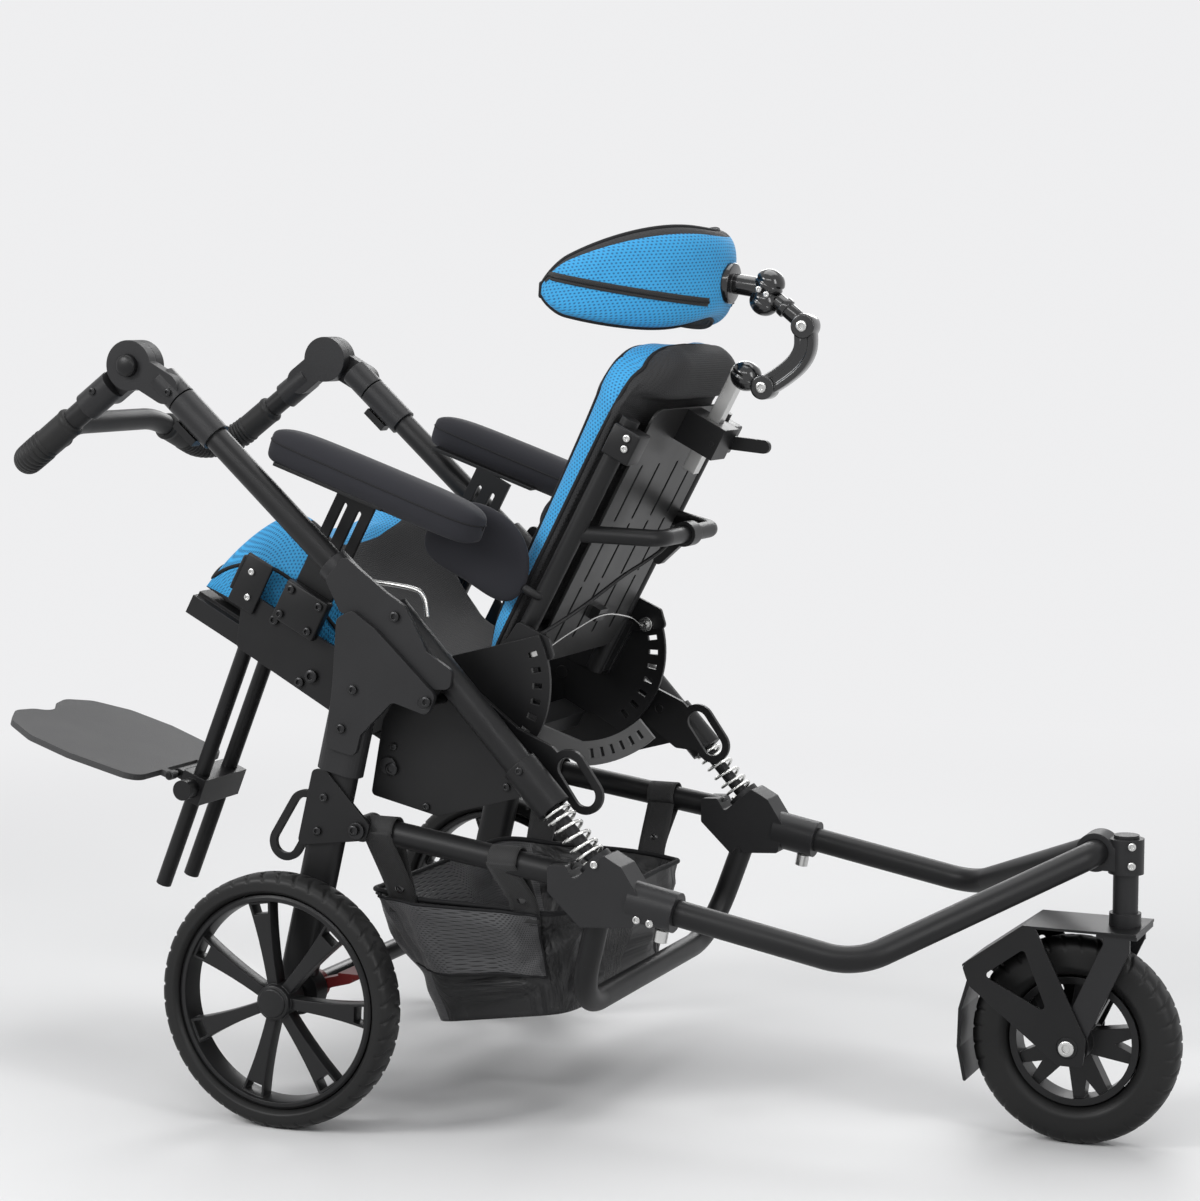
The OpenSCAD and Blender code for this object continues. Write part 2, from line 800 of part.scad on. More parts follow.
// Mudguard: a bent strap on the fork's crown, two cut-out side plates and a rubber flap
guard_t = 3;
guard_clear = 1;
guard_y = blade_y + blade_t + seat_gap + guard_clear;
guard_reach = 128;
guard_top = crown_z + blade_t - front_axle[1];
guard_corner = 4;
guard_share_bend = [-0.42, 1];
guard_share_rear = [-0.96, 0.62];
guard_shares = [
  [0.14, -0.16], [0.17, 0.08], [-0.3, 1], guard_share_bend, guard_share_rear, [-0.9, 0.46], [-0.08, -0.16]
];
guard_hole_shares = [[-0.18, 0.28], [-0.4, 0.82], [-0.77, 0.56]];
flap_w = 74;
flap_t = 4;
flap_l = 126;
flap_rod_d = 8;
flap_rod_share = [-0.9, 0.56];
flap_shares = [[0, 0], [-0.1, -0.35], [-0.11, -0.7], [-0.05, -1]];

function guard_place(share) = front_axle + [share[0] * guard_reach, share[1] * guard_top];

function guard_outline(shares) = rounded([for (s = shares) guard_place(s)], guard_corner);

module mudguard() {
  bent = guard_place(guard_share_bend);
  rear = guard_place(guard_share_rear);
  front = [steer_x + crown_l / 2, bent[1]];
  up = [0, guard_t];
  hinge = guard_place(flap_rod_share);
  out = guard_y + guard_t;
  color(black) {
    both_sides() side_plate(guard_outline(guard_shares), guard_y, guard_t) {
      polygon(guard_outline(guard_hole_shares));
      translate(front_axle) circle(d = 2 * front_axle_d + 2 * press_gap);
    }
    difference() {
      side_slab(-out, 2 * out) polygon([front, bent, rear, rear + up, bent + up, front + up]);
      translate([steer_x, 0, front_axle[1]]) cylinder(h = 2 * guard_top, d = collar_d + 2 * press_gap);
    }
    cross_rod(hinge, -out, out, flap_rod_d);
    side_slab(-flap_w / 2, flap_w)
      for (i = [1:len(flap_shares) - 1])
        capsule(hinge + flap_l * flap_shares[i - 1], hinge + flap_l * flap_shares[i], flap_t / 2);
  }
}

// A tyre about the Z axis, with a rounded tread and an inner bead
bead_share = 0.77;

module tyre(d, w, bead_d, corner) {
  bead_w = w * bead_share;
  section = [[bead_d, -bead_w] / 2, [d, -w] / 2, [d, w] / 2, [bead_d, bead_w] / 2];
  rotate_extrude(convexity = 4) polygon(rounded(section, corner));
}

// A plain ring about the Z axis, of wall t inside its outer radius
module rim_ring(outer, t, w) {
  rotate_extrude(convexity = 4) translate([outer - t, -w / 2]) square([t, w]);
}

// Turns a wheel about Z into its place on an axle
module on_axle(axle, y) {
  translate(at_y(axle, y)) rotate([-90, 0, 0]) children();
}

// Front wheel: a fat tyre on a rim with forked spokes
front_bead_d = 150;
rim_t = 8;
front_hub_d = 44;
front_hub_gap = 3;
front_hub_w = 2 * (blade_y - front_hub_gap);
front_spoke_w = 22;
front_rim_share = 0.66;
front_web_share = 0.44;
front_tread_share = 0.37;
fork_share = 0.62;

module front_tyre() {
  color(rubber) on_axle(front_axle, 0)
    tyre(front_wheel_d, front_tyre_w, front_bead_d, front_tyre_w * front_tread_share);
}

module front_rim() {
  outer = front_bead_d / 2 - seat_gap;
  tip = outer - rim_t / 2;
  web = front_tyre_w * front_web_share;
  half = front_spoke_w / 2;
  color(black) on_axle(front_axle, 0) difference() {
    union() {
      rotate(180 / front_spokes) rim_ring(outer, rim_t, front_tyre_w * front_rim_share);
      translate([0, 0, -front_hub_w / 2]) cylinder(h = front_hub_w, d = front_hub_d);
      translate([0, 0, -web / 2]) linear_extrude(web)
        for (i = [0:front_spokes - 1])
          rotate(i * 360 / front_spokes) polygon([
            [0, -half], [tip, -2 * half], [tip, -half], [outer * fork_share, 0],
            [tip, half], [tip, 2 * half], [0, half]
          ]);
    }
    translate([0, 0, -front_hub_w]) cylinder(h = 2 * front_hub_w, d = front_axle_d + 2 * run_gap);
  }
}

// Rear wheels: tyres on rims with flared, windowed spokes and a round cap
rear_bead_d = 252;
rear_hub_d = 46;
rear_cap_d = 38;
rear_spoke_t = 18;
rear_spoke_root = 13;
rear_spoke_mid = 17;
rear_spoke_tip = 31;
spoke_mid_share = 0.55;
window_wall = 3.5;
window_start = 102;
rear_rim_share = 0.7;
rear_tread_share = 0.31;

module rear_tyre(side) {
  color(rubber) on_side(side) on_axle(rear_axle, rear_wheel_y)
    tyre(rear_wheel_d, rear_tyre_w, rear_bead_d, rear_tyre_w * rear_tread_share);
}

// One spoke from the hub out to the rim, with its window
module rear_spoke(outer) {
  tip = outer - rim_t / 2;
  mid = outer * spoke_mid_share;
  window_end = outer - rim_t - window_wall / 2;
  root = rear_spoke_root / 2;
  waist = rear_spoke_mid / 2;
  half = rear_spoke_tip / 2;
  inner = half - 2 * window_wall;
  difference() {
    polygon([[0, -root], [mid, -waist], [tip, -half], [tip, half], [mid, waist], [0, root]]);
    polygon([
      [window_start, -inner], [window_end, window_wall - half],
      [window_end, half - window_wall], [window_start, inner]
    ]);
  }
}

module rear_rim(side) {
  outer = rear_bead_d / 2 - seat_gap;
  cap_l = track_w / 2 - rear_wheel_y - rear_hub_w / 2;
  color(black) on_side(side) on_axle(rear_axle, rear_wheel_y) {
    difference() {
      union() {
        rotate(180 / rear_spokes) rim_ring(outer, rim_t, rear_tyre_w * rear_rim_share);
        translate([0, 0, -rear_hub_w / 2]) cylinder(h = rear_hub_w, d = rear_hub_d);
        translate([0, 0, -rear_spoke_t / 2]) linear_extrude(rear_spoke_t)
          for (i = [0:rear_spokes - 1]) rotate(i * 360 / rear_spokes) rear_spoke(outer);
      }
      translate([0, 0, -rear_hub_w]) cylinder(h = 2 * rear_hub_w, d = axle_d + 2 * run_gap);
    }
    translate([0, 0, rear_hub_w / 2]) cylinder(h = cap_l, d = rear_cap_d);
  }
}

module rear_tyre_left() { rear_tyre(1); }

module rear_tyre_right() { rear_tyre(-1); }

module rear_rim_left() { rear_rim(1); }

module rear_rim_right() { rear_rim(-1); }

// Pusher tubes: from the fold joint up to the handle's angle joints
pusher_way = unit(pusher_end - pusher_top);
pusher_under = [pusher_way[1], -pusher_way[0]];

module pusher_tubes() {
  color(black) both_sides() side_rod(pusher_top, pusher_end, pusher_d);
}

// Arm plates: grey fold arms outside the tubes, each with the socket of its pusher
arm_socket_wall = 5;
arm_socket_l = 46;
arm_socket_end = 3;
arm_corner = 8;
arm_at = [-190, 518];
arm_size = [162, 150];
arm_shares = [
  [0, 0.81], [0.15, 1], [0.48, 0.73], [0.63, 0.63], [0.8, 0.29], [1, 0.15], [0.98, 0.01], [0.86, 0],
  [0.43, 0.36], [0.11, 0.57]
];

module arm_plates() {
  color(grey) both_sides() difference() {
    union() {
      side_plate(rounded(spread(arm_shares, arm_at, arm_size), arm_corner), arm_y, arm_plate_t);
      side_rod(
        along(pusher_end, pusher_top, arm_socket_l), along(pusher_end, pusher_top, -arm_socket_end),
        pusher_d + 2 * arm_socket_wall
      );
    }
    side_rod(
      along(pusher_end, pusher_top, arm_socket_l + overrun), along(pusher_end, pusher_top, -press_gap),
      pusher_d + 2 * press_gap
    );
    cross_rod(fold_pivot, arm_y - overrun, arm_y + arm_plate_t + overrun, fold_pin_d + 2 * run_gap);
  }
}

// Pusher fittings: the trigger collars, and the outer halves of the angle joints
fitting_wall = 3.5;
fitting_d = pusher_d + 2 * fitting_wall;
collar_down = 67;
collar_place = along(pusher_top, pusher_end, collar_down);
collar_l = 62;
fitting_grip = 34;
fitting_web = 14;
fitting_end = 1;
disc_t = 16;
disc_clear = 4;
joint_pin_d = 16;
button_d = 26;
button_depth = 8;

module pusher_fittings() {
  recess = frame_y + disc_t - button_depth;
  half = pusher_way * collar_l / 2;
  color(black) both_sides() difference() {
    union() {
      side_rod(collar_place - half, collar_place + half, fitting_d);
      side_rod(pusher_top - pusher_way * fitting_end, pusher_top + pusher_way * fitting_grip, fitting_d);
      cross_rod(handle_pivot, frame_y + seat_gap, frame_y + disc_t, disc_d);
      side_slab(frame_y + seat_gap, disc_t - seat_gap)
        capsule(handle_pivot, pusher_top + pusher_way * fitting_web, fitting_d / 2);
    }
    side_rod(pusher_top, pusher_end, pusher_d + 2 * press_gap);
    cross_rod(handle_pivot, frame_y - disc_t, recess + overrun, joint_pin_d + 2 * run_gap);
    cross_rod(handle_pivot, recess, frame_y + disc_t + overrun, button_d + 2 * seat_gap);
    cross_rod(handle_pivot, frame_y - 2 * disc_t, frame_y + seat_gap, disc_d + 2 * disc_clear);
  }
}

// Triggers: sprung paddles under the collars, which release the fold
trigger_l = 34;
trigger_t = 9;
trigger_w = 18;

module trigger(side) {
  place = collar_place + pusher_under * (fitting_d / 2 + seat_gap);
  color(black) on_side(side) translate(at_y(place, frame_y))
    rotate([0, atan2(-pusher_way[1], pusher_way[0]), 0])
      cross_box(-trigger_l / 2, -trigger_t, [trigger_l, trigger_w, trigger_t]);
}

module trigger_left() { trigger(1); }

module trigger_right() { trigger(-1); }

// Handle: one tube with an arched cross bar, between the angle joints
handle_corner = [-634, 750];
handle_mid = [-642, 806];
handle_mid_y = 96;
handle_bend = 52;
handle_arch_bend = 140;
handle_start = 40;

function handle_points(side) = [
  at_y(along(handle_pivot, handle_corner, handle_start), side * frame_y),
  at_y(handle_corner, side * frame_y),
  at_y(handle_mid, side * handle_mid_y)
];

module handle_bar() {
  left = handle_points(1);
  right = handle_points(-1);
  color(black) bent_tube(
    [left[0], left[1], left[2], right[2], right[1], right[0]], handle_d,
    [handle_bend, handle_arch_bend, handle_arch_bend, handle_bend]
  );
}

// Grips: rubber sleeves over the two corners of the handle
grip_arm = 112;
grip_cross = 128;

module handle_grips() {
  color(rubber) for (side = [1, -1]) {
    p = handle_points(side);
    ends = [along(p[1], p[0], grip_arm), p[1], along(p[1], p[2], grip_cross)];
    bent_tube(ends, grip_d, [handle_bend], handle_d + 2 * press_gap);
  }
}

// Handle joints: the inner halves of the angle joints, with the sockets for the handle
joint_socket_wall = 4;
joint_socket_d = handle_d + 2 * joint_socket_wall;
joint_socket_l = 44;
joint_socket_end = 2;
joint_web = 8;

module handle_joints() {
  p = handle_points(1);
  pin_end = frame_y + disc_t - button_depth - seat_gap;
  start = along(handle_pivot, handle_corner, handle_start - joint_socket_end);
  web_end = along(handle_pivot, handle_corner, handle_start + joint_web);
  color(black) both_sides() {
    difference() {
      union() {
        cross_rod(handle_pivot, frame_y - disc_t, frame_y - seat_gap, disc_d);
        side_slab(frame_y - disc_t, disc_t - seat_gap)
          capsule(handle_pivot, web_end, joint_socket_d / 2);
        side_rod(start, along(handle_pivot, handle_corner, handle_start + joint_socket_l), joint_socket_d);
      }
      cross_rod(handle_pivot, frame_y - seat_gap, frame_y + 2 * disc_t, disc_d + 2 * disc_clear);
      rod(p[0], p[1], handle_d + 2 * press_gap);
    }
    cross_rod(handle_pivot, frame_y - disc_t, pin_end, joint_pin_d);
  }
}

// Angle buttons: pressed in to turn the handle
button_l = 11;
button_stand = 4;

module angle_button(side) {
  low = frame_y + disc_t - button_depth + button_stand;
  color(grey) on_side(side) cross_rod(handle_pivot, low, low + button_l, button_d);
}

module angle_button_left() { angle_button(1); }

module angle_button_right() { angle_button(-1); }

// The seat unit is drawn level, about its tilt pivot, and then tipped back
module seat_place() {
  translate(at_y(tilt_pivot, 0)) rotate([0, seat_tilt, 0]) children();
}

// Seat frame: two box rails, cross bars, the pan under the cushion and the footrest's hanger
seat_y = seat_w / 2 - side_plate_t;
rail_w = 25;
rail_h = 24;
rail_top = -52;
rail_front = -350;
rail_back = -45;
pan_t = 4;
pan_back = 24;
bar_places = [-348, -190];
bar_l = 32;
bar_drop = 2;
rear_bar_x = 20;
rear_bar_z = -50;
rear_bar_h = 22;
foot_top = [-326, -80];
foot_end = [-286, -463];
foot_y = foot_tube_gap / 2;
hanger_x = -345;
hanger_l = 40;
hanger_h = 36;
hanger_wall = 7;
hanger_half = foot_y + foot_tube_d / 2 + hanger_wall;

// The two footrest tubes' lines, from a little above their top, at diameter d
module foot_lines(above, d) {
  for (y = [foot_y, -foot_y]) rod(at_y(along(foot_top, foot_end, -above), y), at_y(foot_end, y), d);
}

module seat_frame() {
  rail_low = rail_top - rail_h;
  color(black) seat_place() {
    both_sides() translate([rail_front, seat_y - rail_w - seat_gap, rail_low])
      cube([rail_back - rail_front, rail_w, rail_h]);
    for (x = bar_places) cross_box(x, rail_low, [bar_l, 2 * (seat_y - rail_w), rail_h - bar_drop]);
    cross_box(rail_front, rail_top, [pan_back - rail_front, 2 * seat_y - rail_w, pan_t]);
    cross_box(rear_bar_x, rear_bar_z, [bar_l, 2 * (seat_y - seat_gap), rear_bar_h]);
    difference() {
      cross_box(hanger_x, rail_low - hanger_h, [hanger_l, 2 * hanger_half, hanger_h]);
      foot_lines(press_gap, foot_tube_d + 2 * press_gap);
    }
  }
}

// Side plates: the seat's sides, with the tilt bores, the armrest receivers and the
// recline quadrants with their row of lock slots
side_corner = 8;
side_at = [-300, -80];
side_size = [364, 146];
side_shares = [
  [0, 0.67], [0.09, 0.03], [0.65, 0], [0.71, 0.21], [0.92, 0.21], [1, 0.41], [0.97, 0.85], [0.87, 1],
  [0.76, 0.96], [0.52, 0.75], [0.41, 0.95], [0.12, 0.95]
];
recline_pivot = [3, 39];
recline_pin_d = 14;
quadrant_r = 122;
quadrant_low = -32;
quadrant_high = 56;
quadrant_margin = 9;
quadrant_steps = 24;
quadrant_root_shares = [[-0.12, 0.2], [-0.2, -0.26], [0.17, -0.51]];
lock_row_r = 106;
lock_slots = 8;
slot_w = 6;
slot_l = 12;
long_slot_front = [-120, -60];
long_slot_back = [-78, -60];
post_x = -204;
post_w = 52;
post_t = 5;
receiver_h = 64;
receiver_low = -4;
receiver_wall = 5;

quadrant_outline = concat(
  [for (s = quadrant_root_shares) recline_pivot + quadrant_r * s],
  [
    for (i = [0:quadrant_steps])
      let (a = quadrant_low + (quadrant_high - quadrant_low) * i / quadrant_steps)
      recline_pivot + quadrant_r * [cos(a), sin(a)]
  ]
);

// The flat outline of a side plate with all its slots and the recline bore
module side_flat() {
  lock_step = (quadrant_high - quadrant_low - 2 * quadrant_margin) / (lock_slots - 1);
  difference() {
    union() {
      polygon(rounded(spread(side_shares, side_at, side_size), side_corner));
      polygon(quadrant_outline);
    }
    for (i = [0:lock_slots - 1])
      translate(recline_pivot) rotate(quadrant_low + quadrant_margin + lock_step * i)
        translate([lock_row_r, 0]) square([slot_l, slot_w], center = true);
    capsule(long_slot_front, long_slot_back, slot_w / 2);
    translate(recline_pivot) circle(d = recline_pin_d + 2 * run_gap);
  }
}

module side_plates() {
  out = seat_y + side_plate_t;
  pocket_t = post_t + 2 * seat_gap;
  color(black) seat_place() both_sides() difference() {
    union() {
      side_slab(seat_y, side_plate_t) side_flat();
      translate([post_x - post_w / 2 - receiver_wall, out, receiver_low])
        cube([post_w + 2 * receiver_wall, pocket_t + receiver_wall, receiver_h]);
    }
    translate([post_x - post_w / 2 - seat_gap, out, receiver_low - overrun])
      cube([post_w + 2 * seat_gap, pocket_t, receiver_h + 2 * overrun]);
    cross_rod([0, 0], seat_y - overrun, out + overrun, tilt_pin_d + 2 * run_gap);
  }
}

// Tilt plate: the grey curved plate with a row of slots behind the seat's rear bar
tilt_plate_c = [40, 90];
tilt_plate_r = 158;
tilt_plate_w = 30;
tilt_plate_t = 5;
tilt_plate_y = 40;
tilt_plate_from = -58;
tilt_plate_to = -20;
tilt_plate_steps = 12;
tilt_margin = 5;
tilt_slots = 6;

function tilt_arc(r, a) = tilt_plate_c + r * [cos(a), sin(a)];

module tilt_plate() {
  inner = tilt_plate_r - tilt_plate_w;
  turn = tilt_plate_to - tilt_plate_from;
  step = turn / tilt_plate_steps;
  slot_step = (turn - 2 * tilt_margin) / (tilt_slots - 1);
  bar_end = [rear_bar_x + bar_l, rear_bar_z];
  color(grey) seat_place() side_slab(tilt_plate_y, tilt_plate_t) difference() {
    polygon(concat(
      [bar_end + [0, rear_bar_h], bar_end],
      [for (i = [0:tilt_plate_steps]) tilt_arc(tilt_plate_r, tilt_plate_from + step * i)],
      [for (i = [0:tilt_plate_steps]) tilt_arc(inner, tilt_plate_to - step * i)]
    ));
    for (i = [0:tilt_slots - 1]) {
      a = tilt_plate_from + tilt_margin + slot_step * i;
      translate(tilt_arc(tilt_plate_r - tilt_plate_w / 2, a)) rotate(a)
        square([slot_l, slot_w], center = true);
    }
  }
}

// How full a pad is at u, from 1 in the middle to 0 at its edge
function soft_edge(u, power) = sqrt(max(0, 1 - pow(abs(u), power)));

// Even steps from -1 to 1, and steps that crowd towards both ends
function even_steps(n) = [for (i = [0:n]) -1 + 2 * i / n];
function edge_steps(n) = [for (i = [0:n]) -sin(90 * (1 - 2 * i / n)) * edge_share];
edge_share = 0.998;

// Seat cushion: a crowned pad with a front roll, raised sides and drawn-in edges
cushion_base = rail_top + pan_t + seat_gap;
cushion_inset = 4;
cushion_front = rail_front + cushion_inset;
cushion_t = 70;
cushion_rim = 12;
cushion_lift = 8;
cushion_roll = 44;
cushion_wing = 100;
cushion_pull = 6;
cushion_steps = 16;
roll_share = [-0.72, 0.32];
wing_share = [-0.35, 0.5];

function bump(u, share) = exp(-pow((u - share[0]) / share[1], 2));

function cushion_point(u, v, on_top) =
  let (
    x = cushion_front + cushion_l / 2 * (1 + u) - cushion_pull * u * (1 - v * v),
    y = v * (cushion_w / 2 - cushion_pull * (1 - u * u)),
    edge = soft_edge(u, 10) * soft_edge(v, 14),
    roll = cushion_roll * bump(u, roll_share),
    wing = cushion_wing * pow(abs(v), 3) * bump(u, wing_share),
    top = cushion_base + cushion_rim + (cushion_t - cushion_rim + roll + wing) * edge
  )
  [x, y, on_top ? top : cushion_base + cushion_lift * (1 - edge)];

module seat_cushion() {
  steps = even_steps(cushion_steps);
  color(blue) seat_place() grid_solid(
    [for (v = steps) [for (u = steps) cushion_point(u, v, true)]],
    [for (v = steps) [for (u = steps) cushion_point(u, v, false)]]
  );
}

// Armrests: slotted posts in the receivers, with a tray and a soft pad on top
arm_tip = [-320, 184];
arm_back = [-36, 226];
arm_y_mid = 215;
tray_t = 4;
tray_w = 40;
tray_l = 150;
tray_shift = 50;
post_slot_margin = 24;
post_slot_share = 0.2;
arm_slope = atan2(arm_back[1] - arm_tip[1], arm_back[0] - arm_tip[0]);
arm_mid = (arm_tip + arm_back) / 2;
post_y = seat_y + side_plate_t + seat_gap;
arm_under = arm_pad_t / 2 + seat_gap + tray_t;
post_top = arm_mid[1] + tan(arm_slope) * (post_x - arm_mid[0]) - arm_under / cos(arm_slope);

// Puts the children on the armrest's line, with their origin in the pad's middle
module arm_line() {
  translate(at_y(arm_mid, arm_y_mid)) rotate([0, -arm_slope, 0]) children();
}

module arm_post(side) {
  slot_low = receiver_low + receiver_h + post_slot_margin;
  color(black) seat_place() on_side(side) {
    side_slab(post_y, post_t) difference() {
      translate([post_x - post_w / 2, receiver_low]) square([post_w, post_top - receiver_low]);
      for (x = [-post_w, post_w] * post_slot_share)
        capsule([post_x + x, slot_low], [post_x + x, post_top - post_slot_margin], slot_w / 2);
    }
    arm_line() translate([-tray_l / 2 - tray_shift, post_y - arm_y_mid, -arm_under])
      cube([tray_l, arm_y_mid - post_y + tray_w / 2, tray_t]);
  }
}

module arm_post_left() { arm_post(1); }

module arm_post_right() { arm_post(-1); }

arm_steps_l = 14;
arm_steps_w = 10;
arm_taper_share = 0.14;
arm_end_share = 0.22;
pad_rim = 1;

function arm_point(u, v, sign) =
  let (
    w = arm_pad_w / 2 * (1 - arm_taper_share + arm_taper_share * u) * soft_edge(u, 8),
    h = arm_pad_t / 2 * soft_edge(v, 3.2) * (arm_end_share + (1 - arm_end_share) * soft_edge(u, 6))
  )
  [u * arm_pad_l / 2, v * w, sign * max(h, pad_rim)];

module arm_pad(side) {
  us = edge_steps(arm_steps_l);
  vs = edge_steps(arm_steps_w);
  color(cloth) seat_place() on_side(side) arm_line() grid_solid(
    [for (v = vs) [for (u = us) arm_point(u, v, 1)]],
    [for (v = vs) [for (u = us) arm_point(u, v, -1)]]
  );
}

module arm_pad_left() { arm_pad(1); }

module arm_pad_right() { arm_pad(-1); }

// Footrest tubes: two tubes held in the hanger under the seat's front bar
foot_way = unit(foot_end - foot_top);
foot_lean = atan2(-foot_way[0], -foot_way[1]);

module foot_tubes() {
  color(black) seat_place() foot_lines(0, foot_tube_d);
}

// Foot bracket: clamps on both tubes, with the footplate's hinge pin in front
bracket_down = 262;
bracket_h = 36;
hinge_out = 36;
hinge_d = 12;
hinge_pin_d = 8;
hinge_inset = 12;
hinge_lug_w = 10;
foot_knob_d = 26;
foot_knob_l = 22;

// Puts the children on the footrest's line at the bracket, Z up the tubes
module bracket_line() {
  translate(at_y(foot_top + foot_way * bracket_down, 0)) rotate([0, foot_lean, 0]) children();
}

module foot_bracket() {
  depth = foot_tube_d + 2 * hanger_wall;
  hinge = [-hinge_out, bracket_h / 2];
  barrel = foot_y - hinge_inset + hinge_lug_w / 2;
  color(black) seat_place() {
    difference() {
      bracket_line() {
        cross_box(-depth / 2, 0, [depth, 2 * hanger_half, bracket_h]);
        both_sides() translate([-hinge_out, barrel - hinge_lug_w, hinge[1] - hinge_d / 2])
          cube([hinge_out, hinge_lug_w, hinge_d]);
        cross_rod(hinge, -barrel, barrel, hinge_d);
      }
      foot_lines(0, foot_tube_d + 4 * run_gap);
      bracket_line() cross_rod(hinge, -hanger_half, hanger_half, hinge_pin_d + 2 * press_gap);
    }
    bracket_line() {
      cross_rod(hinge, -hanger_half, hanger_half, hinge_pin_d);
      cross_rod([0, hinge[1]], -hanger_half - foot_knob_l, -hanger_half, foot_knob_d);
    }
  }
}

// Footplate: a flat plate with two rounded lobes at the toes, hinged at its heel
plate_lug_w = 12;
plate_lug_inset = 2;
plate_tilt = 5;
plate_gap = 6;
lobe_corner = 26;
lobe_shares = [
  [-0.44, 0], [-0.5, 0.42], [-0.48, 0.7], [-0.38, 0.91], [-0.23, 1], [-0.1, 0.97], [0, 0.88],
  [0.1, 0.97], [0.23, 1], [0.38, 0.91], [0.48, 0.7], [0.5, 0.42], [0.44, 0]
];

module footplate() {
  heel = hinge_d / 2 + plate_gap;
  lug_y = hanger_half - plate_lug_w - plate_lug_inset;
  color(grey) seat_place() bracket_line()
    translate([-hinge_out, 0, bracket_h / 2]) rotate([0, -plate_tilt, 0]) difference() {
      union() {
        translate([-heel, 0, -footplate_t / 2]) rotate([0, 0, 90]) linear_extrude(footplate_t)
          polygon(rounded(spread(lobe_shares, [0, 0], [footplate_w, footplate_l]), lobe_corner));
        both_sides() {
          translate([-heel - plate_gap, lug_y, -footplate_t / 2])
            cube([heel + plate_gap, plate_lug_w, footplate_t]);
          cross_rod([0, 0], lug_y, lug_y + plate_lug_w, hinge_d);
        }
      }
      cross_rod([0, 0], -hanger_half, hanger_half, hinge_pin_d + 2 * run_gap);
    }
}

// Backrest frame: two tubes with hinge ears, cross bars, the push bow and the lateral arms
back_tube_x = 45;
back_tube_y = 150;
back_tube_low = 34;
back_tube_top = 408;
back_bars_up = [120, 372];
ear_t = 5;
ear_y = seat_y - seat_gap - ear_t;
ear_corner = 6;
ear_at = [-14, 22];
ear_size = [114, 120];
ear_shares = [
  [0, 0], [0.26, 0], [0.63, 0.07], [0.65, 0.62], [1, 0.85], [0.84, 1], [0.47, 0.98], [0.39, 0.35],
  [0.02, 0.28]
];
ear_block_l = 24;
ear_block_h = 70;
ear_block_up = 4;
recline_proud = 3;
plunger_turn = 47;
plunger_place = recline_pivot + lock_row_r * [cos(plunger_turn), sin(plunger_turn)];
plunger_d = 10;
push_up = 258;
push_mid = [120, 288];
push_mid_y = 84;
push_d = 20;
push_bend = 34;
lateral_y = (back_w / 2 + seat_y) / 2;
lateral_t = 22;
lateral_l = 140;
lateral_h = 92;
lateral_mid = [-46, 190];
lateral_bend = 16;
lateral_arm_d = 10;

module back_frame() {
  arm_up = lateral_mid[1] - lateral_bend;
  arm_front = lateral_mid[0] + lateral_l / 2 + seat_gap;
  color(black) seat_place() {
    both_sides() {
      translate([back_tube_x, back_tube_y, back_tube_low])
        cylinder(h = back_tube_top - back_tube_low, d = back_tube_d);
      side_plate(rounded(spread(ear_shares, ear_at, ear_size), ear_corner), ear_y, ear_t)
        translate(plunger_place) circle(d = plunger_d + 2 * run_gap);
      cross_rod(recline_pivot, ear_y, seat_y + side_plate_t + recline_proud, recline_pin_d);
      translate([back_tube_x - ear_block_l / 2, back_tube_y, back_tube_low + ear_block_up])
        cube([ear_block_l, ear_y - back_tube_y, ear_block_h]);
      bent_tube([
        [back_tube_x, back_tube_y, arm_up], [back_tube_x, lateral_y, arm_up], [arm_front, lateral_y, arm_up]
      ], lateral_arm_d, [lateral_arm_d]);
    }
    for (up = back_bars_up) cross_rod([back_tube_x, up], -back_tube_y, back_tube_y, back_tube_d);
    bent_tube([
      [back_tube_x, back_tube_y, push_up], at_y(push_mid, push_mid_y),
      at_y(push_mid, -push_mid_y), [back_tube_x, -back_tube_y, push_up]
    ], push_d, [push_bend, push_bend]);
  }
}

// Back shell: the slotted plate behind the cushion, with the guide of the recline wire
shell_x = back_tube_x + back_tube_d / 2 + seat_gap;
shell_w = 244;
shell_low = 84;
shell_top = 426;
shell_corner = 18;
shell_slot = 70;
shell_rows = [150, 232, 314];
shell_cols_shares = [-0.34, -0.12, 0.12, 0.34];
guide_w = 24;
guide_h = 16;
guide_up = 138;
wire_x = 72;
wire_d = 2;

module back_shell() {
  half = shell_w / 2;
  rear = shell_x + shell_t;
  color(grey) seat_place() {
    translate([shell_x, 0, 0]) rotate([90, 0, 90]) linear_extrude(shell_t) difference() {
      polygon(rounded([
        [-half, shell_low], [half, shell_low], [half, shell_top], [-half, shell_top]
      ], shell_corner));
      for (z = shell_rows, s = shell_cols_shares)
        capsule([s * shell_w, z - shell_slot / 2], [s * shell_w, z + shell_slot / 2], slot_w / 2);
    }
    cross_box(rear, guide_up, [wire_x - wire_d / 2 - seat_gap - rear, guide_w, guide_h]);
  }
}

// Back cushion: a tall crowned pad in front of the back tubes, with drawn-in sides
back_base = 62;
back_rear = back_tube_x - back_tube_d / 2 - seat_gap;
back_t = 46;
back_rim = 10;
back_lift = 6;
back_lean = 22;
back_pull = 5;
back_hollow = 16;
back_steps = 16;

function back_point(u, v, in_front) =
  let (
    y = v * (back_w / 2 - back_pull * (1 - u * u)),
    z = back_base + back_h / 2 * (1 + u) - back_pull * u * (1 - v * v),
    edge = soft_edge(u, 10) * soft_edge(v, 8),
    full = back_t - back_rim + back_lean * (1 + u) / 2 - back_hollow * (1 - v * v)
  )
  [in_front ? back_rear - back_rim - full * edge : back_rear - back_lift * (1 - edge), y, z];

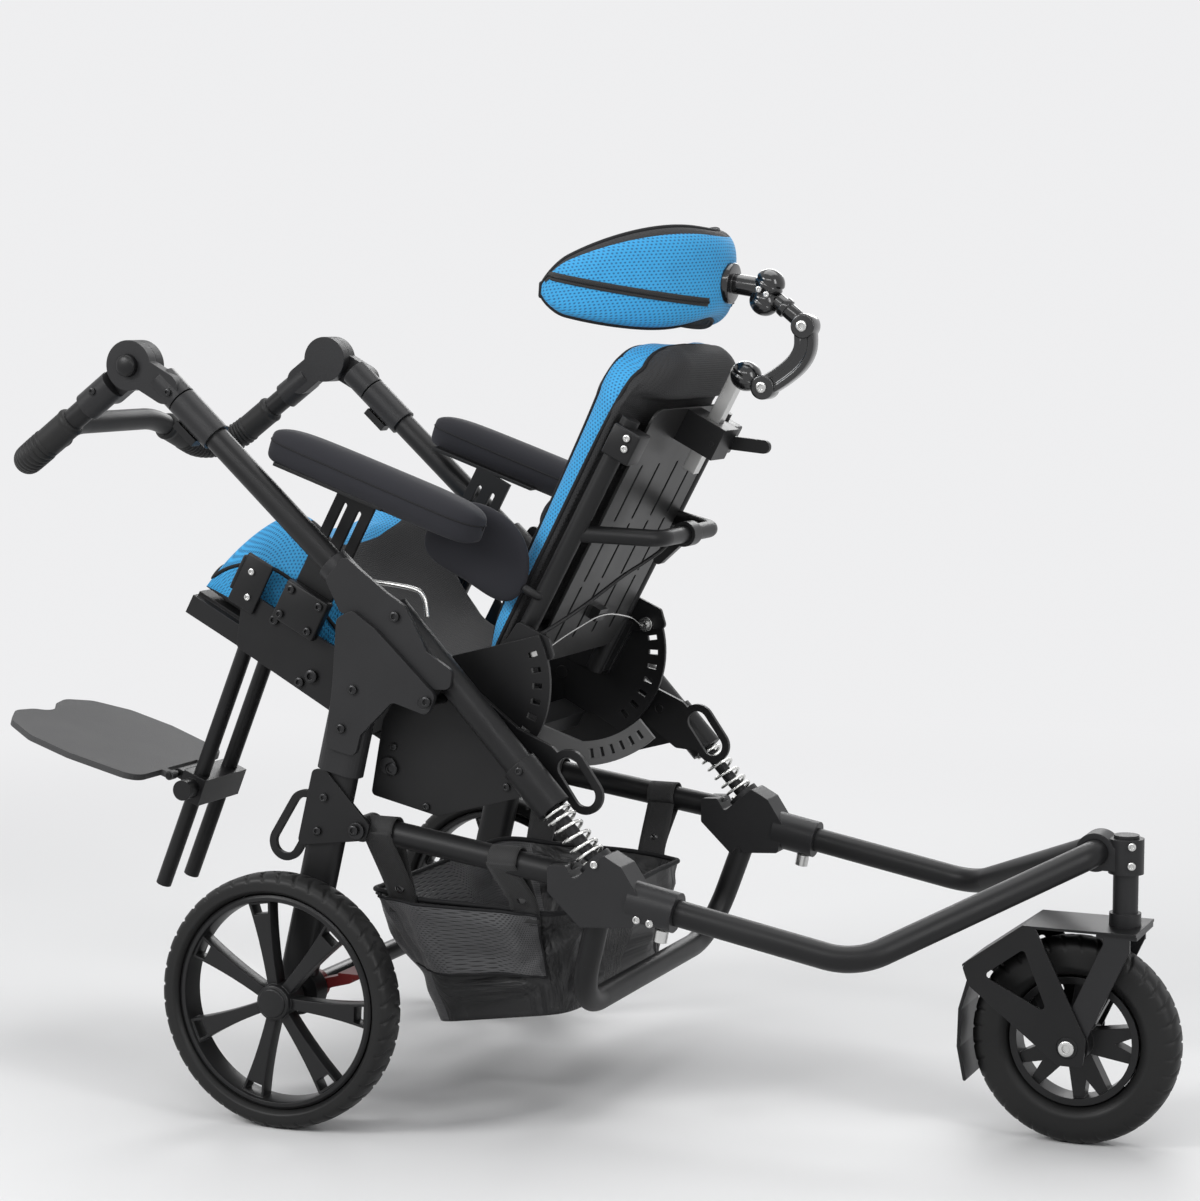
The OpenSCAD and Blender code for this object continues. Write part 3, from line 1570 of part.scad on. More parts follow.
module back_cushion() {
  steps = even_steps(back_steps);
  color(blue) seat_place() grid_solid(
    [for (u = steps) [for (v = steps) back_point(u, -v, true)]],
    [for (u = steps) [for (v = steps) back_point(u, -v, false)]]
  );
}

// Lateral pads: kidney-shaped side supports between the back and the armrests
lateral_steps_l = 12;
lateral_steps_h = 8;

function lateral_point(u, v, sign) =
  let (
    half = lateral_t / 2 * soft_edge(u, 4) * soft_edge(v, 4),
    z = v * lateral_h / 2 * soft_edge(u, 3) - lateral_bend * u * u
  )
  [lateral_mid[0] + u * lateral_l / 2, lateral_y + sign * max(pad_rim, half), lateral_mid[1] + z];

module lateral_pads() {
  us = edge_steps(lateral_steps_l);
  vs = edge_steps(lateral_steps_h);
  color(cloth) seat_place() both_sides() grid_solid(
    [for (v = vs) [for (u = us) lateral_point(u, v, -1)]],
    [for (v = vs) [for (u = us) lateral_point(u, v, 1)]]
  );
}

// Back cables: the recline wire between the plungers, and the sheathed release cable
cable_d = 5;
cable_sides = 8;
wire_route = [
  [75, -163, 117], [75, -148, 117], [75, -128, 124], [75, -100, 133], [74, -60, 141], [72, -20, 146],
  [72, 20, 146], [74, 60, 141], [75, 100, 133], [75, 128, 124], [75, 148, 117], [75, 163, 117]
];
cable_route = [
  [112.5, -18, 277.5], [110, -30, 262], [104, -48, 244], [96, -70, 224], [90, -94, 202],
  [84, -118, 180], [76, -140, 158], [68, -156, 140], [62, -164, 131], [60, -170, 128]
];

module back_cables() {
  color(steel) seat_place() {
    swept_tube(wire_route, wire_d, cable_sides, [1, 0, 0]);
    swept_tube(cable_route, cable_d, cable_sides, [1, 0, 0]);
  }
}

// Plungers: sprung pins on the ears beside the quadrant slots, bored for the recline wire
plunger_head_d = 18;
plunger_head_l = 8;
plunger_tail = 4;
plunger_bore_d = 4.5;
plunger_bore_l = 12;

module plunger(side) {
  head = ear_y - seat_gap - plunger_head_l;
  tail = head - plunger_tail;
  color(steel) seat_place() on_side(side) difference() {
    union() {
      cross_rod(plunger_place, tail, seat_y - seat_gap, plunger_d);
      cross_rod(plunger_place, head, head + plunger_head_l, plunger_head_d);
    }
    cross_rod(plunger_place, tail - overrun, tail + plunger_bore_l, plunger_bore_d);
  }
}

module plunger_left() { plunger(1); }

module plunger_right() { plunger(-1); }

// Recline lever: a ring on the push bow with a short arm that pulls the release cable
lever_ring_d = 30;
lever_ring_w = 24;
lever_arm_w = 12;
lever_arm_end = [104, 244];

module recline_lever() {
  half = lever_ring_w / 2;
  color(black) seat_place() difference() {
    union() {
      cross_rod(push_mid, -half, half, lever_ring_d);
      side_slab(-lever_arm_w / 2, lever_arm_w) capsule(push_mid, lever_arm_end, lever_arm_w / 2);
    }
    cross_rod(push_mid, -lever_ring_w, lever_ring_w, push_d + lap_swell + 2 * run_gap);
  }
}

// Headrest clamp: a block on the shell that holds the square post
head_post_x = 88;
head_post_s = 16;
clamp_low = 384;
clamp_h = 40;
clamp_w = 46;
clamp_back = 112;
lever_pivot = [104, 402];
lever_pin_d = 6;

module head_clamp() {
  pocket = head_post_s + 2 * seat_gap;
  color(black) seat_place() difference() {
    cross_box(shell_x + shell_t, clamp_low, [clamp_back - shell_x - shell_t, clamp_w, clamp_h]);
    cross_box(head_post_x - pocket / 2, clamp_low - overrun, [pocket, pocket, clamp_h + 2 * overrun]);
    cross_rod(lever_pivot, -clamp_w, clamp_w, lever_pin_d + 2 * run_gap);
  }
}

// Clamp lever: the quick clamp on the headrest block
lever_t = 7;
lever_w = 16;
lever_end = [148, 420];

module clamp_lever() {
  side = clamp_w / 2 + seat_gap;
  color(black) seat_place() {
    cross_rod(lever_pivot, -clamp_w / 2, side + lever_t, lever_pin_d);
    side_slab(side, lever_t) capsule(lever_pivot, lever_end, lever_w / 2);
  }
}

// Headrest post: a square bar with the lower pivot of the link at its head
head_post_low = 356;
head_post_top = 494;
head_eye_wall = 3;
link_pin_d = 12;
link_low = [124, 488];
link_knee = [146, 528];
link_elbow = [134, 574];
link_top = [84, 586];
link_w = 20;
link_ear = 5.4;
link_half = head_post_s / 2 + seat_gap + link_ear;
link_groove = 2;

module head_post() {
  length = head_post_top - head_post_low;
  color(black) seat_place() difference() {
    union() {
      cross_box(head_post_x - head_post_s / 2, head_post_low, [head_post_s, head_post_s, length]);
      side_slab(-head_post_s / 2, head_post_s)
        capsule([head_post_x, link_low[1]], link_low, link_pin_d / 2 + head_eye_wall);
    }
    cross_rod(link_low, -head_post_s, head_post_s, link_pin_d + 2 * run_gap);
  }
}

// Headrest link: the cranked, grooved arm between the post and the headrest's bracket
fork_reach = [62, 58];
fork_back = 40;

module head_link() {
  arm = [link_low, link_knee, link_elbow, link_top];
  color(black) seat_place() {
    difference() {
      side_slab(-link_half, 2 * link_half) for (i = [0:2]) capsule(arm[i], arm[i + 1], link_w / 2);
      cross_box(
        link_low[0] - fork_back, link_low[1] - fork_back,
        [fork_reach[0], head_post_s + 2 * seat_gap, fork_reach[1]]
      );
      both_sides() side_slab(link_half - link_groove, link_half) capsule(link_knee, link_elbow, link_w / 4);
      cross_rod(link_top, -2 * link_half, 2 * link_half, link_pin_d + 2 * run_gap);
    }
    cross_rod(link_low, -link_half, link_half, link_pin_d);
  }
}

// Headrest bracket: a mounting plate behind the pad, with two yoke plates and the link's pin
head_at = [3, 567];
head_pitch = 24;
head_plate_t = 4;
head_plate_w = 56;
head_plate_h = 44;
head_yoke_t = 5;
head_plate_x = head_t / 2 + seat_gap;

// A place in the headrest's own [x, z], carried over to the seat's
function head_place(p) =
  head_at + p[0] * [cos(head_pitch), sin(head_pitch)] + p[1] * [-sin(head_pitch), cos(head_pitch)];

module head_line() {
  translate(at_y(head_at, 0)) rotate([0, -head_pitch, 0]) children();
}

module head_bracket() {
  yoke_y = link_half + seat_gap;
  rear = head_plate_x + head_plate_t / 2;
  edge = [0, link_w / 2];
  color(black) seat_place() {
    head_line() cross_box(head_plate_x, -head_plate_h / 2, [head_plate_t, head_plate_w, head_plate_h]);
    both_sides() side_slab(yoke_y, head_yoke_t) {
      polygon([
        head_place([rear, head_plate_h / 2]), head_place([rear, -head_plate_h / 2]),
        link_top - edge, link_top + edge
      ]);
      translate(link_top) circle(d = link_w);
    }
    cross_rod(link_top, -yoke_y - head_yoke_t, yoke_y + head_yoke_t, link_pin_d);
  }
}

// Headrest: a padded wing that curves forward round the head
head_bend_r = 175;
head_turn = 86;
head_top_drop = 1.08;
head_top_power = 2.8;
head_low_lift = 0.28;
head_rim = 2;
head_cols = 16;
head_rows = 8;

function head_point(u, v, sign) =
  let (
    a = v * head_turn,
    r = head_bend_r + sign * max(head_rim, head_t / 2 * soft_edge(u, 5) * soft_edge(v, 6)),
    half = (head_w - head_t) / 2 / sin(head_turn),
    high = head_h / 2 * (1 - head_top_drop * pow(abs(v), head_top_power)),
    low = head_h / 2 * (head_low_lift * pow(v, 4) - 1)
  )
  [
    r * cos(a) - head_bend_r, half * r / head_bend_r * sin(a),
    (high + low) / 2 + u * (high - low) / 2
  ];

module head_pad() {
  us = even_steps(head_rows);
  vs = even_steps(head_cols);
  color(blue) seat_place() head_line() grid_solid(
    [for (u = us) [for (v = vs) head_point(u, v, 1)]],
    [for (u = us) [for (v = vs) head_point(u, v, -1)]]
  );
}

front_tubes();
rear_legs();
joint_covers();
seat_carrier();
rear_brackets();
tie_down_plates();
axle_and_bolts();
brake_pedal();
lower_tubes();
front_nodes();
u_hoop();
springs();
front_bow();
stem();
basket();
lock_pin_left();
lock_pin_right();
fork();
mudguard();
front_tyre();
front_rim();
rear_tyre_left();
rear_rim_left();
rear_tyre_right();
rear_rim_right();
pusher_tubes();
arm_plates();
pusher_fittings();
trigger_left();
trigger_right();
handle_bar();
handle_grips();
handle_joints();
angle_button_left();
angle_button_right();
seat_frame();
side_plates();
tilt_plate();
seat_cushion();
arm_post_left();
arm_post_right();
arm_pad_left();
arm_pad_right();
foot_tubes();
foot_bracket();
footplate();
back_frame();
back_shell();
back_cushion();
lateral_pads();
back_cables();
plunger_left();
plunger_right();
recline_lever();
head_clamp();
clamp_lever();
head_post();
head_link();
head_bracket();
head_pad();
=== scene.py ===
import math

import bpy
from mathutils import Matrix, Vector, noise


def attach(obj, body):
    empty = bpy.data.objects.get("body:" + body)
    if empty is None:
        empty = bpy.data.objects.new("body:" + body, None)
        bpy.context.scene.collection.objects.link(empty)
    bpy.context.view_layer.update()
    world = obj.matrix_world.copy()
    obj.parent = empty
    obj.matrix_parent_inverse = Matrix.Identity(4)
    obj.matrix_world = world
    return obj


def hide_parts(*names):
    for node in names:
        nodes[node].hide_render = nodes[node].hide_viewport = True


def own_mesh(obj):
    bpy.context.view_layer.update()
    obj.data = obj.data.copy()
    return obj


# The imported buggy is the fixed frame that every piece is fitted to.
# Its solids come in selected, so the selection is cleared before any operator runs.
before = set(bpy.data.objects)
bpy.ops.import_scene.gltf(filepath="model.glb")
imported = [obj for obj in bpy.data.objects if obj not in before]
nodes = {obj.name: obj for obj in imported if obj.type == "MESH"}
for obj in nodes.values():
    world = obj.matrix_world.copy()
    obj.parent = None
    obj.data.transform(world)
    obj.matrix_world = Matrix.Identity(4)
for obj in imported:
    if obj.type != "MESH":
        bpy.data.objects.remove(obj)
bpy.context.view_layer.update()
mm = 0.001
scene = bpy.context.scene
scene.view_settings.view_transform = "Standard"
bpy.ops.object.select_all(action="DESELECT")

# The studio: one wide pale floor that fades into the paper behind it, and five soft boxes round
# the buggy and above it. The floor takes the buggy's soft shadow.


def feed(tree, socket, value):
    """Links an output socket to this input, or sets a plain value on it."""
    if isinstance(value, bpy.types.NodeSocket):
        tree.links.new(value, socket)
    else:
        socket.default_value = value


def put(tree, kind, settings=None, **inputs):
    """One shader node; each input is a plain value or an output socket to link."""
    node = tree.nodes.new(kind)
    for name, value in (settings or {}).items():
        setattr(node, name, value)
    for name, value in inputs.items():
        feed(tree, node.inputs[name.replace("_", " ")], value)
    return node


def calc(tree, operation, *values):
    """The output of one Math node with these values or sockets."""
    node = put(tree, "ShaderNodeMath", {"operation": operation})
    for socket, value in zip(node.inputs, values):
        feed(tree, socket, value)
    return node.outputs[0]


def ramp(tree, value, low, high):
    """0 below low and 1 above high, with a soft step between them."""
    node = put(tree, "ShaderNodeMapRange", {"interpolation_type": "SMOOTHSTEP"}, Value=value,
               From_Min=low, From_Max=high)
    return node.outputs["Result"]


def seen_rays(tree):
    """1 for the rays that see the studio straight, in a mirror or through glass, and 0 for the rest."""
    rays = put(tree, "ShaderNodeLightPath").outputs
    seen = calc(tree, "MAXIMUM", rays["Is Camera Ray"], rays["Is Glossy Ray"])
    return calc(tree, "MAXIMUM", seen, rays["Is Transmission Ray"])


def mix_shaders(tree, share, first, second, output):
    """Ends the tree with two shaders, mixed by the share of the second."""
    mixed = tree.nodes.new("ShaderNodeMixShader")
    for socket, value in zip(mixed.inputs, (share, first.outputs[0], second.outputs[0])):
        tree.links.new(value, socket)
    tree.links.new(mixed.outputs[0], tree.nodes[output].inputs["Surface"])


paper = (0.86, 0.86, 0.87, 1)
bpy.ops.mesh.primitive_circle_add(vertices=96, radius=30, fill_type="NGON")
floor = bpy.context.object
floor.name = "studio_floor"
floor_paper = bpy.data.materials.new("floor_paper")
floor_paper.use_nodes = True
tree = floor_paper.node_tree
place = put(tree, "ShaderNodeTexCoord").outputs["Object"]
reach = put(tree, "ShaderNodeVectorMath", {"operation": "LENGTH"}, Vector=place).outputs["Value"]
shadow_reach, paper_reach = 0.9, 3.2
far = calc(tree, "MULTIPLY", ramp(tree, reach, shadow_reach, paper_reach), seen_rays(tree))
glow = put(tree, "ShaderNodeEmission", Color=paper)
shader = tree.nodes["Principled BSDF"]
shader.inputs["Base Color"].default_value = (0.80, 0.80, 0.80, 1)
shader.inputs["Roughness"].default_value = 0.75
mix_shaders(tree, far, shader, glow, "Material Output")
floor.data.materials.append(floor_paper)

world = bpy.data.worlds.new("studio_air")
scene.world = world
world.use_nodes = True
tree = world.node_tree
soft_air = put(tree, "ShaderNodeBackground", Color=(0.86, 0.88, 0.92, 1), Strength=0.24)
shown_air = put(tree, "ShaderNodeBackground", Color=paper, Strength=1.0)
mix_shaders(tree, seen_rays(tree), soft_air, shown_air, "World Output")

aim = Vector((0, 0, 0.5))
for name, stand, size, power in (
    ("key_box", (-2.2, -2.9, 2.6), (1.4, 1.4), 86),
    ("strip_box", (0.5, -3.4, 2.9), (3.2, 0.45), 34),
    ("fill_box", (3.4, -1.6, 1.9), (0.8, 2.2), 40),
    ("top_box", (0.2, 0.6, 3.6), (2.6, 2.6), 58),
    ("rim_box", (-0.6, 3.4, 2.2), (2.0, 1.0), 34),
):
    lamp = bpy.data.lights.new(name, "AREA")
    lamp.shape = "RECTANGLE"
    lamp.size, lamp.size_y = size
    lamp.energy = power
    box = bpy.data.objects.new(name, lamp)
    box.location = stand
    box.rotation_euler = (aim - Vector(stand)).to_track_quat("-Z", "Y").to_euler()
    scene.collection.objects.link(box)

# The camera: a long lens that looks a little down, with its place and turn solved from the
# photograph.
lens = bpy.data.cameras.new("photo_lens")
lens.lens = 85.13
lens.sensor_width = 36
camera = bpy.data.objects.new("photo_camera", lens)
camera.location = (1.380, -3.138, 0.946)
look_down, yaw = 5.8, 23.1
camera.rotation_euler = (math.radians(90 - look_down), 0, math.radians(yaw))
scene.collection.objects.link(camera)
scene.camera = camera

# Frame tubes and plates: welded aluminium with a satin black powder coat. The coat has a fine
# orange peel, cloudy gloss and a little dust on the faces that look up, and its edges are lightened
# in patches, partly as wear and partly as painted highlight.


def node_group(name, inputs, outputs):
    """An empty shader group with these sockets, given by name and kind."""
    group = bpy.data.node_groups.new(name, "ShaderNodeTree")
    for way, sockets in (("INPUT", inputs), ("OUTPUT", outputs)):
        for socket, kind in sockets.items():
            group.interface.new_socket(socket, in_out=way, socket_type="NodeSocket" + kind)
    return group


def cloudy(tree, place, scale, detail):
    """The value of a noise of this scale."""
    return put(tree, "ShaderNodeTexNoise", Vector=place, Scale=scale, Detail=detail).outputs["Fac"]


def blend_colour(tree, share, first, second):
    """The colour that lies this share of the way from the first to the second."""
    node = put(tree, "ShaderNodeMix", {"data_type": "RGBA"})
    for socket, value in zip((node.inputs[0], node.inputs[6], node.inputs[7]), (share, first, second)):
        feed(tree, socket, value)
    return node.outputs[2]


surface_grain = node_group(
    "surface_grain",
    {"Colour": "Color", "Dust Colour": "Color", "Dust": "Float", "Grain": "Float", "Gloss": "Float",
     "Wear": "Float"},
    {"Colour": "Color", "Roughness": "Float", "Height": "Float", "Normal": "Vector"})
tree = surface_grain
given = tree.nodes.new("NodeGroupInput").outputs
coords = put(tree, "ShaderNodeTexCoord").outputs
peel = cloudy(tree, coords["Object"], given["Grain"], 2.0)
cloud = cloudy(tree, coords["Object"], 11.0, 5.0)
up = put(tree, "ShaderNodeSeparateXYZ", Vector=coords["Normal"]).outputs["Z"]
lying = calc(tree, "MULTIPLY", ramp(tree, up, 0.35, 1.0), ramp(tree, cloud, 0.35, 0.75))
dusty = calc(tree, "MULTIPLY", lying, given["Dust"])
tone = calc(tree, "MULTIPLY", ramp(tree, cloud, 0.3, 0.8), 0.03)
share = calc(tree, "ADD", dusty, tone)
eased = put(tree, "ShaderNodeBevel", {"samples": 4}, Radius=1.4 * mm).outputs["Normal"]
flat = put(tree, "ShaderNodeNewGeometry").outputs["Normal"]
lean = put(tree, "ShaderNodeVectorMath", {"operation": "DOT_PRODUCT"}).inputs
tree.links.new(eased, lean[0])
tree.links.new(flat, lean[1])
edge = calc(tree, "SUBTRACT", 1.0, lean[0].node.outputs["Value"])
# Edges are lightened in patches towards the dust colour: partly wear, partly a painted highlight.
worn_and_highlit_edge = calc(tree, "MULTIPLY", ramp(tree, edge, 0.02, 0.22), ramp(tree, cloud, 0.3, 0.65))
share = calc(tree, "ADD", share, calc(tree, "MULTIPLY", worn_and_highlit_edge, given["Wear"]))
result = tree.nodes.new("NodeGroupOutput").inputs
tree.links.new(eased, result["Normal"])
tree.links.new(blend_colour(tree, share, given["Colour"], given["Dust Colour"]), result["Colour"])
swing = calc(tree, "MULTIPLY_ADD", cloud, 0.22, -0.11)
tree.links.new(calc(tree, "ADD", given["Gloss"], swing), result["Roughness"])
tree.links.new(peel, result["Height"])


def hard_finish(name, colour, gloss, metallic=0.0, grain=900.0, bump=0.04, dust=0.03, coat=0.0,
                shine=0.26, edge_wear_and_highlight=0.35):
    """A painted, cast, plated or moulded finish with its grain, cloudiness, dust, and edges lightened by
    wear and painted highlight.
    """
    material = bpy.data.materials.new(name)
    material.use_nodes = True
    tree = material.node_tree
    shader = tree.nodes["Principled BSDF"]
    # The dust colour also lightens the edges, as wear and as painted highlight.
    dust_and_highlight_colour = (*(0.09 + 0.8 * c for c in colour), 1)
    group = put(tree, "ShaderNodeGroup", {"node_tree": surface_grain}, Colour=(*colour, 1),
                Dust_Colour=dust_and_highlight_colour, Dust=dust, Grain=grain, Gloss=gloss, Wear=edge_wear_and_highlight)
    tree.links.new(group.outputs["Colour"], shader.inputs["Base Color"])
    tree.links.new(group.outputs["Roughness"], shader.inputs["Roughness"])
    raised = put(tree, "ShaderNodeBump", Strength=bump, Distance=0.4 * mm, Height=group.outputs["Height"],
                 Normal=group.outputs["Normal"])
    tree.links.new(raised.outputs["Normal"], shader.inputs["Normal"])
    shader.inputs["Metallic"].default_value = metallic
    shader.inputs["Specular IOR Level"].default_value = shine
    shader.inputs["Coat Weight"].default_value = coat
    return material


def paint(material, *names):
    """Gives these CAD solids the material."""
    for name in names:
        nodes[name].data.materials.clear()
        nodes[name].data.materials.append(material)


powder_black = hard_finish("powder_black", (0.007, 0.007, 0.0075), 0.42)
paint(powder_black, "front_tubes", "rear_legs", "lower_tubes", "u_hoop", "front_bow", "handle_bar",
      "seat_frame", "back_frame", "foot_tubes", "seat_carrier", "tie_down_plates", "rear_brackets",
      "arm_post_left", "arm_post_right")

# Castings and moulded covers: glass-filled nylon and die-cast joints in a dull dark grey, bolted
# over the tubes where the frame folds. The back shell, tilt plate and footplate are other greys,
# and the brake pedal is red.
cast_grey = hard_finish("cast_grey", (0.017, 0.017, 0.018), 0.42, grain=500.0, bump=0.25)
paint(cast_grey, "joint_covers", "front_nodes", "arm_plates", "stem", "handle_joints", "pusher_fittings",
      "fork")
moulded_black = hard_finish("moulded_black", (0.007, 0.007, 0.0075), 0.38, grain=700.0, bump=0.2)
paint(moulded_black, "mudguard", "trigger_left", "trigger_right", "angle_button_left",
      "angle_button_right", "head_clamp", "clamp_lever", "recline_lever", "foot_bracket")
shell_grey = hard_finish("shell_grey", (0.022, 0.022, 0.022), 0.38, metallic=0.3, grain=1400.0)
paint(shell_grey, "back_shell")
plate_grey = hard_finish("plate_grey", (0.16, 0.16, 0.16), 0.5, grain=600.0, bump=0.2)
paint(plate_grey, "tilt_plate")
foot_grey = hard_finish("foot_grey", (0.062, 0.062, 0.063), 0.55, grain=420.0, bump=0.7, dust=0.3)
paint(foot_grey, "footplate")
brake_red = hard_finish("brake_red", (0.16, 0.018, 0.018), 0.45, grain=600.0)
paint(brake_red, "brake_pedal")

# Steel parts: the lock pins, plungers and headrest post are zinc-plated and bright, and the axle
# and bolts are black oxide. All are drawn or turned, so their gloss is cloudy.
zinc_steel = hard_finish("zinc_steel", (0.55, 0.55, 0.54), 0.28, metallic=1.0, grain=1600.0, dust=0.0)
paint(zinc_steel, "lock_pin_left", "lock_pin_right", "plunger_left", "plunger_right", "head_post")
oxide_steel = hard_finish("oxide_steel", (0.035, 0.035, 0.036), 0.32, metallic=0.9, grain=1600.0, dust=0.0)
paint(oxide_steel, "axle_and_bolts")

# Front rim: an injection-moulded wheel in dark nylon with a satin face, as the mould leaves it,
# on the fork's axle.
rim_nylon = hard_finish("rim_nylon", (0.009, 0.009, 0.0095), 0.34, grain=800.0, bump=0.2)
paint(rim_nylon, "front_rim")

# Tyres: black rubber on the rims, moulded with a raised band on each wall and short slanted
# cuts along both shoulders. One section is spun about the axle.
tyre_rubber = hard_finish("tyre_rubber", (0.009, 0.009, 0.009), 0.46, grain=350.0, bump=0.3, dust=0.05,
                          edge_wear_and_highlight=0.0)


def only(piece):
    """Makes this the one selected and active object."""
    bpy.ops.object.select_all(action="DESELECT")
    piece.select_set(True)
    bpy.context.view_layer.objects.active = piece


def fit(piece, name, body, slot, *materials):
    """Names a finished piece, gives it its finish, and hands it to the body that carries it."""
    piece.name = name
    piece.data.name = name
    for material in materials:
        piece.data.materials.append(material)
    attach(piece, body)
    bpy.ops.object.select_all(action="DESELECT")
    return piece


def facing_out(piece):
    """Turns all the piece's faces outward."""
    only(piece)
    bpy.ops.object.mode_set(mode="EDIT")
    bpy.ops.mesh.select_all(action="SELECT")
    bpy.ops.mesh.normals_make_consistent(inside=False)
    bpy.ops.object.mode_set(mode="OBJECT")


def spun(section, centre, steps):
    """Spins a closed section about the axle through centre, into one closed ring."""
    only(section)
    bpy.ops.object.mode_set(mode="EDIT")
    bpy.ops.mesh.select_all(action="SELECT")
    bpy.ops.mesh.spin(steps=steps, angle=2 * math.pi, center=centre, axis=(0, 1, 0))
    bpy.ops.mesh.select_all(action="SELECT")
    bpy.ops.mesh.remove_doubles(threshold=0.02 * mm)
    bpy.ops.object.mode_set(mode="OBJECT")
    facing_out(section)


def bump_at(value, middle, reach):
    """A smooth bump of height 1 round the middle value."""
    return math.exp(-(((value - middle) / reach) ** 2))


def signed_power(value, power):
    """The value's size raised to a power, with its sign kept."""
    return math.copysign(abs(value) ** power, value)


def spun_tyre(name, axle, y, radius, width, bead, cuts, body):
    """A tyre about the axle at (x, z), with this many cuts on each shoulder."""
    deep = (radius - bead) / 2
    band_height, cut_depth, steps_per_cut = 0.9 * mm, 2.2 * mm, 16
    tread_shares, cut_half_share, cut_slant = (0.22, 0.93), 0.11, 0.55
    bpy.ops.mesh.primitive_circle_add(vertices=52, radius=1)
    tyre = bpy.context.object
    for vertex in tyre.data.vertices:
        out, across = vertex.co.x, vertex.co.y
        band = band_height * bump_at(out, -0.35, 0.10)
        r = bead + deep + deep * signed_power(out, 0.72)
        side = width / 2 * signed_power(across, 0.66) * (0.955 if out < -0.6 else 0.97)
        vertex.co = (axle[0] + r, y + side + math.copysign(band, across), axle[1])
    spun(tyre, (axle[0], y, axle[1]), cuts * steps_per_cut)
    for vertex in tyre.data.vertices:
        dx, dz = vertex.co.x - axle[0], vertex.co.z - axle[1]
        r = math.hypot(dx, dz)
        across = (vertex.co.y - y) / (width / 2)
        if r < bead + 0.9 * deep or not tread_shares[0] < abs(across) < tread_shares[1]:
            continue
        turn = math.atan2(dz, dx) * cuts / (2 * math.pi) + cut_slant * abs(across)
        turn += 0.5 if across > 0 else 0
        off = abs(turn - round(turn))
        depth = cut_depth * max(0.0, 1 - (off / cut_half_share) ** 2)
        vertex.co.x -= dx / r * depth
        vertex.co.z -= dz / r * depth
    bpy.ops.object.shade_smooth()
    fit(tyre, name + "_treaded", body, "tyre", tyre_rubber)
    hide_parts(name)


sides = (("left", 1), ("right", -1))
rear_axle, rear_y, rear_bead = (-0.234, 0.150), 0.3015, 0.126
for name, side in sides:
    spun_tyre("rear_tyre_" + name, rear_axle, side * rear_y, rear_axle[1], 0.045, rear_bead, 44,
              "rear_wheel_" + name)
front_axle = (0.634, 0.120)
spun_tyre("front_tyre", front_axle, 0.0, front_axle[1], 0.048, 0.075, 36, "front_wheel")

# Rear rims: dark nylon mouldings with seven flared spokes, each with a small window at the rim,
# and a domed cap over the hub.


def meshed(vertices, faces):
    """A smooth-shaded object from vertices and faces."""
    mesh = bpy.data.meshes.new("piece")
    mesh.from_pydata([tuple(v) for v in vertices], [], faces)
    piece = bpy.data.objects.new("piece", mesh)
    scene.collection.objects.link(piece)
    only(piece)
    bpy.ops.object.shade_smooth()
    return piece


def thickened(sheet, thickness, offset=0):
    """Gives a sheet its thickness, about its middle or to one side."""
    thick = sheet.modifiers.new("thick", "SOLIDIFY")
    thick.thickness = thickness
    thick.offset = offset
    only(sheet)
    bpy.ops.object.modifier_apply(modifier="thick")
    return sheet


def joined(pieces):
    """These pieces as one object."""
    only(pieces[0])
    for piece in pieces:
        piece.select_set(True)
    bpy.ops.object.join()
    return bpy.context.object


def eased_edges(piece, width, segments=2):
    """Rounds the piece's sharp edges, and shades it smooth between them."""
    only(piece)
    ease = piece.modifiers.new("ease", "BEVEL")
    ease.width = width
    ease.segments = segments
    ease.limit_method = "ANGLE"
    ease.angle_limit = math.radians(35)
    bpy.ops.object.modifier_apply(modifier="ease")
    bpy.ops.object.shade_smooth_by_angle(angle=math.radians(32))
    return piece


spoke_count, first_turn, spoke_depth, spoke_rail = 7, -3, 20 * mm, 3.2
hub_reach, rim_reach, window_from = 17, 119, 103
spoke_reach = [hub_reach, 30, 45, 60, 75, 88, 97, window_from, 115, rim_reach]
rim_section = [(126, -15), (126, 15), (123, 17), (rim_reach, 17), (117, 14), (117.5, -14),
               (rim_reach, -17), (123, -17)]


def spoke_half(r):
    """Half the spoke's width at this reach, in mm."""
    return 6.5 + 8.5 * ((r - hub_reach) / (rim_reach - hub_reach)) ** 2.2


def flared_spoke(turn, side):
    """One spoke, turned about the axle, with its window at the rim."""
    vertices, faces = [], []
    for r in spoke_reach:
        half = spoke_half(r)
        for across in (-half, -half + spoke_rail, half - spoke_rail, half):
            x = r * math.cos(turn) - across * math.sin(turn)
            z = r * math.sin(turn) + across * math.cos(turn)
            vertices.append((rear_axle[0] + x * mm, side * (rear_y + 11 * mm), rear_axle[1] + z * mm))
    for i, r in enumerate(spoke_reach[:-1]):
        for j in range(3):
            if j == 1 and r == window_from:
                continue
            a = 4 * i + j
            faces.append((a, a + 1, a + 5, a + 4) if side > 0 else (a, a + 4, a + 5, a + 1))
    spoke = thickened(meshed(vertices, faces), spoke_depth, 1)
    middle = sum(v.co.y for v in spoke.data.vertices) / len(spoke.data.vertices)
    for vertex in spoke.data.vertices:
        vertex.co.y += side * (rear_y + 3 * mm) - middle
    facing_out(spoke)
    return eased_edges(spoke, 0.9 * mm)


